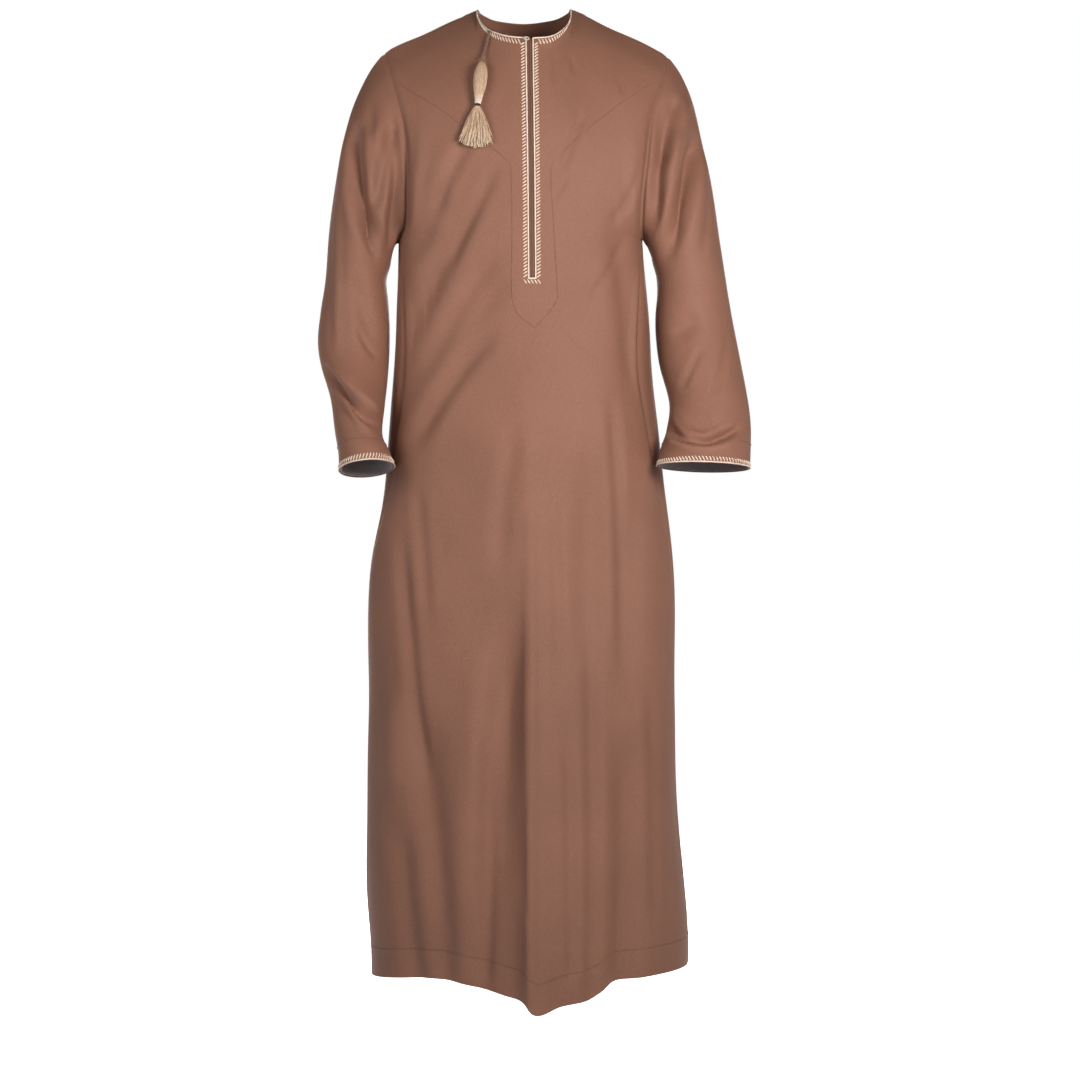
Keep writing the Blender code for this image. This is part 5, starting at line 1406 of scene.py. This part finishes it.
def floor_looks():
    looks = Looks("floor_pale", FLOOR_PALE, roughness=0.8)
    looks.colour(looks.shades(looks.noise(3.0), 0.2, 0.8, FLOOR_PALE, dark=0.985, pale=1.01))
    looks.shader.inputs["Emission Color"].default_value = (*WHITE, 1.0)
    looks.shader.inputs["Emission Strength"].default_value = FLOOR_GLOW
    return looks.material


def build_panels():
    """The four panels of cloth, each sleeve hung on the armhole edges of the front and the back."""
    front = front_grid()
    back = back_grid()
    armhole = slice(ARMPIT_ROW * ROWS_BY, None)
    right = sleeve_grid(SLEEVE_RIGHT, front[armhole, 0], back[armhole, -1], -1)
    left = sleeve_grid(SLEEVE_LEFT, front[armhole, -1], back[armhole, 0], 1)
    return {
        "front": body_panel(front, FRONT_FOLDS, FRONT_CREASES, SLACK_SEED["front"]),
        "back": body_panel(back, BACK_FOLDS, BACK_CREASES, SLACK_SEED["back"]),
        "sleeve_right": sleeve_panel(right, SLACK_SEED["sleeve_right"]),
        "sleeve_left": sleeve_panel(left, SLACK_SEED["sleeve_left"]),
    }


def slit_cells(panel):
    """The cells of the fine front grid that the slit cuts away."""
    rows, columns = panel.points.shape[:2]
    cut = np.zeros((rows - 1, columns - 1), bool)
    first = SLIT_COLUMN * COLUMNS_BY
    cut[SLIT_FOOT_ROW * ROWS_BY:, first:first + COLUMNS_BY] = True
    return cut


def build_cloth(panels, suiting):
    pieces = {}
    for name, panel in panels.items():
        cut = slit_cells(panel) if name == "front" else None
        piece = shell_mesh("cloth_" + name, panel.points, panel.inner, panel.closed, suiting, cut)
        stands_for(piece, "suiting", *PANEL_NODES[name])
        pieces[name] = piece
    return pieces


def step_away(panel, place, along):
    """The change in column and row for one metre from a place in the direction along."""
    here = on_cloth(panel, *place, 0)[0]
    there = on_cloth(panel, place[0] + along[0], place[1] + along[1], 0)[0]
    return np.array(along) / np.linalg.norm(there - here)


def edge_line(panel, start, end, along, per_cell=6):
    """Stations from one place to another along an edge, each with its step away from the edge."""
    start, end = np.array(start, float), np.array(end, float)
    count = int(abs(end - start).max() * per_cell) + 2
    places = [start + (end - start) * share for share in np.linspace(0, 1, count)]
    return [(place, step_away(panel, place, along)) for place in places]


def front_edges(panel):
    """The stretches of the front's trimmed edge, in order: neck, slit, slit foot, slit and neck again."""
    top = panel_top(panel)
    left = SLIT_COLUMN + 1
    neck_end = left + 1 + NECK_CELLS
    return {
        "neck_right": edge_line(panel, (SHOULDER_CELLS, top), (SLIT_COLUMN, top), DOWN),
        "slit_right": edge_line(panel, (SLIT_COLUMN, top), (SLIT_COLUMN, SLIT_FOOT_ROW), RIGHTWARD),
        "foot": edge_line(panel, (SLIT_COLUMN, SLIT_FOOT_ROW), (left, SLIT_FOOT_ROW), DOWN),
        "slit_left": edge_line(panel, (left, SLIT_FOOT_ROW), (left, top), LEFTWARD),
        "neck_left": edge_line(panel, (left, top), (neck_end, top), DOWN),
    }


def foot_row(panel):
    """The line of stitches below the slit's foot, a little wider than the slit."""
    start = (SLIT_COLUMN - FOOT_ROW_OVER, SLIT_FOOT_ROW)
    end = (SLIT_COLUMN + 1 + FOOT_ROW_OVER, SLIT_FOOT_ROW)
    return edge_line(panel, start, end, DOWN)


def piped(stretch):
    """A piping path beside a stretch of edge."""
    return [(place, place + away * PIPING_WIDTH) for place, away in stretch]


def joined_path(stretches):
    """One piping path over several stretches, mitred where they meet."""
    path = []
    for index, stretch in enumerate(stretches):
        kept = stretch if index == len(stretches) - 1 else stretch[:-1]
        if index:
            kept = kept[1:]
            corner, away = stretch[0]
            path += piped([(corner, stretches[index - 1][-1][1] + away)])
        path += piped(kept)
    return path


def whips(panel, stretch, lean, skip_start=0.0, skip_end=0.0):
    """Slanted stitches beside one stretch of edge, without the lengths that are skipped at its ends."""
    run = run_along(np.array([on_cloth(panel, *place, 0)[0] for place, _ in stretch]))
    places = np.array([place for place, _ in stretch]).T
    aways = np.array([away for _, away in stretch]).T

    def at(distance, out):
        base = [np.interp(distance, run, line) for line in places]
        step = [out * np.interp(distance, run, line) for line in aways]
        return on_cloth(panel, base[0] + step[0], base[1] + step[1], 0)

    room = run[-1] - skip_start - skip_end
    count = max(1, round(room / WHIP_PITCH))
    stitches = []
    for number in range(count):
        distance = skip_start + room * (number + 0.5) / count
        start, normal = at(np.clip(distance - lean / 2, 0, run[-1]), WHIP_START)
        end, _ = at(np.clip(distance + lean / 2, 0, run[-1]), WHIP_END)
        stitches.append((start, end, normal))
    return stitches


def row_at(panel, column, rise):
    """The row that lies this far up the cloth from the panel's lowest edge."""
    line = np.array([on_cloth(panel, column, row, 0)[0] for row in CUFF_SEARCH_ROWS])
    return np.interp(rise, run_along(line), CUFF_SEARCH_ROWS)


def front_neck_trim(panel, cream, thread):
    """The corded edge of the front neck and the slit, with its slanted stitches."""
    edges = front_edges(panel)
    bead = piping_bead("piping_neck_front", panel, joined_path(list(edges.values())), False, cream)
    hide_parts("neck_piping_front")
    corner = WHIP_END
    stitches = whips(panel, edges["neck_right"], WHIP_LEAN, 0.0, corner)
    stitches += whips(panel, edges["slit_right"], WHIP_LEAN, corner, 0.0)
    stitches += whips(panel, foot_row(panel), WHIP_LEAN)
    stitches += whips(panel, edges["slit_left"], WHIP_LEAN, 0.0, corner)
    stitches += whips(panel, edges["neck_left"], WHIP_LEAN, corner, 0.0)
    return [bead, whip_threads("stitches_neck_front", stitches, thread)]


def back_neck_trim(panel, cream, thread):
    """The corded edge of the back neck, with its slanted stitches."""
    top = panel_top(panel)
    neck = edge_line(panel, (SHOULDER_CELLS, top), (SHOULDER_CELLS + BACK_NECK_CELLS, top), DOWN)
    bead = piping_bead("piping_neck_back", panel, piped(neck), False, cream)
    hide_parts("neck_piping_back")
    return [bead, whip_threads("stitches_neck_back", whips(panel, neck, WHIP_LEAN), thread)]


def cuff_trim(sleeve, side, cream, thread, brown_thread):
    """The corded edge of a cuff, its slanted stitches and the stitch line above them."""
    cuff = edge_line(sleeve, (0, 0), (SLEEVE_COLUMNS, 0), UP, per_cell=4)
    bead = piping_bead("piping_cuff_" + side, sleeve, piped(cuff[:-1]), True, cream)
    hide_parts("cuff_piping_" + side)
    lean = WHIP_LEAN if side == "right" else -WHIP_LEAN
    stitches = whip_threads("stitches_cuff_" + side, whips(sleeve, cuff, lean), thread)
    columns = np.linspace(0, SLEEVE_COLUMNS, CUFF_LINE_STATIONS)
    rows = [row_at(sleeve, column, CUFF_STITCH_RISE) for column in columns]
    places = [on_cloth(sleeve, column, row, 0) for column, row in zip(columns, rows)]
    line = line_threads("stitch_line_cuff_" + side, running_row(places), brown_thread)
    return [bead, stitches, line]


def hem_line(panel, name, brown_thread):
    """The stitch line at the top of the turned-up hem."""
    columns = np.linspace(HEM_LINE_END, last_column(panel) - HEM_LINE_END, HEM_LINE_STATIONS)
    places = [on_cloth(panel, column, HEM_STITCH_ROW, 0) for column in columns]
    return line_threads("stitch_line_hem_" + name, running_row(places), brown_thread)


def pocket_tacks(front, brown_thread):
    """The short bars of thread at the ends of the side pockets."""
    tacks = []
    for tack in BAR_TACKS:
        right = tack.side == "right"
        edge = TACK_EDGE if right else last_column(front) - TACK_EDGE
        inward = (TACK_STEP if right else -TACK_STEP, 0)
        reach = step_away(front, (edge, tack.row), inward) * TACK_LENGTH
        for lift in TACK_ROWS:
            start, normal = on_cloth(front, edge, tack.row + lift, 0)
            end, _ = on_cloth(front, edge + reach[0], tack.row + lift, 0)
            tacks.append((start, end, normal))
    return threads("pocket_bar_tacks", tacks, TACK_RADIUS, WHIP_RISE, WHIP_MESH, brown_thread)


def build_trim(panels, cream, thread, brown_thread):
    """Piping and stitches, listed by the panel that they lie on."""
    front, back = panels["front"], panels["back"]
    trim = {"front": front_neck_trim(front, cream, thread), "back": back_neck_trim(back, cream, thread)}
    for side in ("right", "left"):
        sleeve = "sleeve_" + side
        trim[sleeve] = cuff_trim(panels[sleeve], side, cream, thread, brown_thread)
    tree = finder(front)
    bib = running_row(front_line(tree, BIB_RIGHT)) + running_row(front_line(tree, BIB_LEFT))
    trim["front"].append(line_threads("stitch_line_bib", bib, brown_thread))
    for name in ("front", "back"):
        trim[name].append(hem_line(panels[name], name, brown_thread))
    trim["front"].append(pocket_tacks(front, brown_thread))
    for name, lines in seam_lines(panels).items():
        seams = sum([running_row(line, SEAM_PITCH, SEAM_STITCH) for line in lines], [])
        trim[name].append(threads("seam_line_" + name, seams, SEAM_RADIUS, 0.0, LINE_MESH, brown_thread))
    return trim


def seam_lines(panels):
    """The sewn lines: armholes on the sleeves, side and shoulder seams on the front."""
    def places(name, rows, columns):
        return list(zip(panels[name].points[rows, columns], panels[name].normals[rows, columns]))

    lines = {}
    for name in ("sleeve_right", "sleeve_left"):
        loop = places(name, -1, slice(None))
        lines[name] = [loop + loop[:1]]
    below_armpit = slice(ARMPIT_ROW * ROWS_BY)
    shoulder = SHOULDER_CELLS * COLUMNS_BY
    lines["front"] = [places("front", below_armpit, side) for side in (0, -1)]
    lines["front"] += [places("front", -1, part) for part in (slice(shoulder), slice(-shoulder, None))]
    return lines


def thin_sheet(name, panel, columns, rows, wall, closed, material):
    """A sheet of cloth that lies under a panel, over these columns and rows."""
    faces = [
        np.array([[on_cloth(panel, column, row, lift)[0] for column in columns] for row in rows])
        for lift in (-UNDER_CLOTH, -UNDER_CLOTH - wall)
    ]
    return shell_mesh(name, *faces, closed, material)


def declare_under_cloth(piece, slot, node):
    stands_for(piece, slot, node)


def build_placket(front, material):
    """The two strips that meet behind the slit."""
    rows = np.linspace(SLIT_FOOT_ROW - STRIP_BELOW, panel_top(front) - STRIP_SHORT, STRIP_ROWS)
    groove = SLIT_COLUMN + 0.5
    spans = {
        "right": (SLIT_COLUMN - STRIP_UNDER, groove - STRIP_GROOVE),
        "left": (groove + STRIP_GROOVE, SLIT_COLUMN + 1 + STRIP_UNDER),
    }
    for side, span in spans.items():
        columns = np.linspace(*span, STRIP_COLUMNS)
        strip = thin_sheet("placket_strip_" + side, front, columns, rows, STRIP_WALL, False, material)
        declare_under_cloth(strip, "placket", "placket_" + side)


def build_neck_underlap(front, material):
    """The sliver of cloth that stands up behind the front neck edge."""
    top = panel_top(front)
    places, rises = zip(*NECK_TAB)
    columns = np.linspace(places[0], places[-1], TAB_COLUMNS)
    heights = smooth_read(columns, places, rises)
    faces = []
    for lift in (-UNDER_CLOTH, -UNDER_CLOTH - FACING_WALL):
        low = np.array([on_cloth(front, column, top - TAB_DEPTH_SHARE, lift)[0] for column in columns])
        edge = np.array([on_cloth(front, column, top, lift)[0] for column in columns])
        high = edge + heights[:, None] * unit(edge - low)
        faces.append(np.array([low, (low + edge) / 2, edge, (edge + high) / 2, high]))
    tab = shell_mesh("neck_underlap", *faces, False, material)
    declare_under_cloth(tab, "placket", "neck_tab")


def build_cuff_lining(sleeve, side, material):
    """The band of lining that is turned in at a cuff."""
    columns = np.linspace(0, SLEEVE_COLUMNS, SLEEVE_COLUMNS * COLUMNS_BY, endpoint=False)
    rows = np.linspace(*LINING_ROWS)
    lining = thin_sheet("cuff_lining_" + side, sleeve, columns, rows, FACING_WALL, True, material)
    declare_under_cloth(lining, "cuff_facing", "cuff_facing_" + side)


def build_hook(panel, material):
    """A small eye of wound thread that lies on the piping at the top of the slit."""
    top = panel_top(panel)
    level = top - HOOK_DOWN

    def at(column, row):
        return on_cloth(panel, column, row, 2 * TOUCH_GAP + PIPING_HEIGHT + HOOK_WIRE)[0]

    centre = at(SLIT_COLUMN - HOOK_ASIDE, level)
    across = unit(at(SLIT_COLUMN + HOOK_SPAN, level) - at(SLIT_COLUMN - HOOK_SPAN, level))
    upward = unit(at(SLIT_COLUMN, top) - at(SLIT_COLUMN, top - 1))
    out = unit(np.cross(across, upward))
    points = []
    for turn in range(HOOK_TURNS):
        angle = turned(turn, HOOK_TURNS)
        middle = centre + HOOK_LONG * math.cos(angle) * across + HOOK_SHORT * math.sin(angle) * upward
        outward = unit(math.cos(angle) * across + math.sin(angle) * upward)
        wire = HOOK_WIRE * (1 + HOOK_TWIST_DEPTH * math.cos(HOOK_TWISTS * angle))
        for side in range(HOOK_SIDES):
            around = turned(side, HOOK_SIDES)
            points.append(middle + wire * (math.cos(around) * outward + math.sin(around) * out))
    hook = mesh_piece("neck_eye", points, ring_faces(HOOK_TURNS, HOOK_SIDES, True), material)
    stands_for(hook, "hook", "neck_hook")


def solid_front():
    """A tree of the front solid of the chest, for seating the tassel where the solids have it."""
    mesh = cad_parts["front_chest"].data
    points = [vertex.co for vertex in mesh.vertices]
    return BVHTree.FromPolygons(points, [tuple(face.vertices) for face in mesh.polygons])


def off_front(tree, x, z, stand_off):
    """The point that stands this far off the chest at x and z."""
    place, _ = seen_from_front(tree, x, z)
    return np.array([x, place.y - stand_off, z])


def hanging_matrix(top, foot):
    """A frame at top whose -Z runs towards foot and whose X stays level with the robe's."""
    up = Vector(top - foot).normalized()
    across = (Vector((1.0, 0.0, 0.0)) - up.x * up).normalized()
    return Matrix.LocRotScale(Vector(top), Matrix((across, up.cross(across), up)).transposed(), None)


def placed(matrix, points):
    return [tuple(matrix @ Vector(point)) for point in points]


def turned_piece(name, profile, drop, sides, ridges, ridge_depth, matrix, material):
    """A piece turned about its hanging line, with fine, slightly wandering ridges that run down it."""
    downs, radii = np.array(profile).T
    fine = np.concatenate([downs, np.linspace(downs[0], downs[-1], TURNED_FINER * len(downs))])
    fine = np.unique(np.round(fine, 7))
    width = smooth_read(fine, downs, radii)
    points = []
    for down, radius in zip(fine, width):
        for side in range(sides):
            angle = turned(side, sides)
            drift = RIDGE_WANDER * math.sin(3 * angle)
            drift += RIDGE_WANDER_DOWN * math.sin(RIDGE_WANDER_RATE * down + 2 * angle)
            size = radius - ridge_depth * (0.5 + 0.5 * math.cos(ridges * angle + drift))
            points.append((size * math.cos(angle), size * math.sin(angle), -drop - down))
    return mesh_piece(name, placed(matrix, points), ring_faces(len(fine), sides, False), material)


def strand_line(number):
    """One thread of the fringe from root to tip: across, deep, down and thickness at each station.

    The roots fill the ring evenly, by the golden angle. Sines of the thread's number make each one differ
    in length, spread and bend.
    """
    share = np.linspace(0, 1, STRAND_STATIONS)
    ring = ROOT_FILL * math.sqrt((number + 0.5) / STRAND_COUNT)
    turn = number * math.pi * (3 - math.sqrt(5))
    u, v = ring * math.cos(turn), ring * math.sin(turn)
    odd = math.sin(ODD_STEP * number)
    length = STRAND_LENGTH * (LONGEST_SHARE - SIDES_SHORTER * u * u - ODD_SHORTER * abs(odd) ** 3)
    spread = share ** (SPREAD_POWER + SPREAD_POWER_SWING * math.sin(SPREAD_STEP * number))
    stray = STRAY_SPREAD if number % STRAY_EVERY == STRAY_FIRST else 1.0
    x = u * (PLATE_HALF_WIDTH * ROOT_SHARE + stray * (SKIRT_HALF_WIDTH - PLATE_HALF_WIDTH) * spread)
    y = v * (PLATE_HALF_DEPTH * ROOT_SHARE + (SKIRT_HALF_DEPTH - PLATE_HALF_DEPTH) * spread)
    x = x + STRAND_WAVE * odd * np.sin(BEND_ACROSS * share + number) * share
    y = y + STRAND_WAVE_DEEP * np.sin(BEND_DEEP * share + 2.0 * number) * share
    z = np.where(share > 0, -FRINGE_GAP - PLATE_HEIGHT - length * share, -FRINGE_GAP)
    swell = THICKNESS_CHANGE * share - THICKNESS_CHANGE * share ** TIP_POWER
    thick = STRAND_RADIUS * (ROOT_THICKNESS + swell)
    return zip(x, y, z, thick)


def fringe_piece(matrix, material):
    """Loose threads below the ring, close together at the root and spread at the tips."""
    points, faces = [], []
    angles = [turned(side + 0.5, STRAND_SIDES) for side in range(STRAND_SIDES)]
    for number in range(STRAND_COUNT):
        faces += ring_faces(STRAND_STATIONS, STRAND_SIDES, False, len(points))
        for x, y, z, thick in strand_line(number):
            points += [(x + thick * math.cos(angle), y + thick * math.sin(angle), z) for angle in angles]
    return mesh_piece("tassel_fringe", placed(matrix, points), faces, material)


def build_tassel(looks):
    """The cord with the wound head and dark binding at its end, and the fringe below them."""
    tree = solid_front()
    top = off_front(tree, *TASSEL_TOP, HEAD_STAND_OFF)
    foot = off_front(tree, *TASSEL_FOOT, HEAD_STAND_OFF)
    up = unit(top - foot)
    points = [off_front(tree, *point) for point in CORD_ROUTE]
    points += [top + CORD_STRAIGHT * up, top + TOUCH_GAP * up]
    route = curve_through([tuple(point) for point in points], np.linspace(0.0, 1.0, CORD_STATIONS))
    faces = ring_faces(CORD_STATIONS, CORD_SIDES, False)
    cord = mesh_piece("neck_cord", cord_points(route), faces, looks["cord"])
    stands_for(cord, "tassel_cord", "tassel_cord")

    hang = hanging_matrix(top, foot)
    ridges = (HEAD_SIDES, HEAD_RIDGES, HEAD_RIDGE_DEPTH)
    head = turned_piece("tassel_body", TASSEL_HEAD, TOUCH_GAP, *ridges, hang, looks["head"])
    stands_for(head, "tassel_head", "tassel_head")
    ring_drop = 2 * TOUCH_GAP + TASSEL_HEAD[-1].down
    ring = turned_piece("tassel_binding", TASSEL_RING, ring_drop, RING_SIDES, 1, 0.0, hang, looks["ring"])
    stands_for(ring, "tassel_ring", "tassel_ring")
    fringe_top = top - (ring_drop + RING_HEIGHT) * up
    fringe_foot = off_front(tree, *FRINGE_FOOT, FRINGE_STAND_OFF)
    fringe = fringe_piece(hanging_matrix(fringe_top, fringe_foot), looks["fringe"])
    stands_for(fringe, "tassel_fringe", "tassel_skirt")


def add_lamp(lamp):
    light = bpy.data.lights.new(lamp.name, "AREA")
    light.shape = "SQUARE"
    light.size = lamp.size
    light.energy = lamp.power
    light.color = lamp.colour
    holder = into_scene(lamp.name, light)
    holder.location = lamp.place
    aim = Vector(lamp.target) - Vector(lamp.place)
    holder.rotation_euler = aim.to_track_quat("-Z", "Y").to_euler()


def build_floor():
    """A pale floor that the camera sees but that throws no soft light on the cloth."""
    half, level = FLOOR_HALF_WIDTH, FLOOR_LEVEL
    corners = [(-half, -half, level), (half, -half, level), (half, half, level), (-half, half, level)]
    mesh = bpy.data.meshes.new("floor")
    mesh.from_pydata(corners, [], [(0, 1, 2, 3)])
    mesh.materials.append(floor_looks())
    floor = into_scene("floor", mesh)
    floor.visible_diffuse = False


def build_world():
    """White as the camera sees it, but dimmer as a light, and dimmer still from above."""
    world = bpy.data.worlds.new("studio")
    world.use_nodes = True
    tree = world.node_tree
    direction = tree.nodes.new("ShaderNodeTexCoord")
    toward = tree.nodes.new("ShaderNodeSeparateXYZ")
    tree.links.new(direction.outputs["Generated"], toward.inputs["Vector"])
    ramp = tree.nodes.new("ShaderNodeValToRGB")
    for stop, position, grey in zip(ramp.color_ramp.elements, (SKY_STARTS, SKY_ENDS), (1.0, SKY_SHARE)):
        stop.position = position
        stop.color = (grey, grey, grey, 1.0)
    tree.links.new(toward.outputs["Z"], ramp.inputs["Fac"])
    light = tree.nodes["Background"]
    light.inputs["Strength"].default_value = WORLD_STRENGTH
    tree.links.new(ramp.outputs["Color"], light.inputs["Color"])
    backdrop = tree.nodes.new("ShaderNodeBackground")
    backdrop.inputs["Color"].default_value = (*WHITE, 1.0)
    seen = tree.nodes.new("ShaderNodeLightPath")
    both = tree.nodes.new("ShaderNodeMixShader")
    tree.links.new(seen.outputs["Is Camera Ray"], both.inputs[0])
    tree.links.new(light.outputs[0], both.inputs[1])
    tree.links.new(backdrop.outputs[0], both.inputs[2])
    tree.links.new(both.outputs[0], tree.nodes["World Output"].inputs["Surface"])
    bpy.context.scene.world = world


def build_stage():
    build_floor()
    bpy.context.scene.view_settings.view_transform = "Standard"
    build_world()
    for lamp in LAMPS:
        add_lamp(lamp)


def build_camera():
    camera = bpy.data.cameras.new("photo_view")
    camera.sensor_width = CAMERA_SENSOR
    camera.lens = CAMERA_LENS
    seen = into_scene("photo_view", camera)
    seen.location = CAMERA_PLACE
    seen.rotation_euler = (math.pi / 2, 0.0, 0.0)
    bpy.context.scene.camera = seen


build_camera()
suiting = suiting_looks("suiting_brown", SUITING)
placket_cloth = suiting_looks("placket_brown", PLACKET_BROWN)
cream = cord_looks("piping_cream", CREAM, period=0.0012)
thread = cord_looks("thread_cream", THREAD_CREAM, period=0.0009)
brown_thread = cord_looks("thread_brown", THREAD_BROWN, period=0.0008)
tassel_looks = {
    "cord": cord_looks("cord_brown", CORD_BROWN, period=0.0011, roughness=0.7),
    # The head turns to a painted highlight at its lower end.
    "head": silk_looks("silk_tan", SILK_TAN, SILK_PAINTED_HIGHLIGHT, HEAD_PAINTED_HIGHLIGHT, roughness=0.40),
    "ring": cord_looks("binding_dark", BINDING_DARK, period=0.0008, roughness=0.6),
    "fringe": silk_looks("silk_fringe", FRINGE_TAN, FRINGE_PALE, FRINGE_PALER, roughness=0.45),
}
build_tassel(tassel_looks)
panels = build_panels()
cloth = build_cloth(panels, suiting)
trim = build_trim(panels, cream, thread, brown_thread)
facing = facing_looks("lining_grey")
build_placket(panels["front"], placket_cloth)
build_neck_underlap(panels["front"], placket_cloth)
for side in ("right", "left"):
    build_cuff_lining(panels["sleeve_" + side], side, facing)
build_hook(panels["front"], cord_looks("eye_pale", EYE_PALE, period=0.0009))
build_stage()
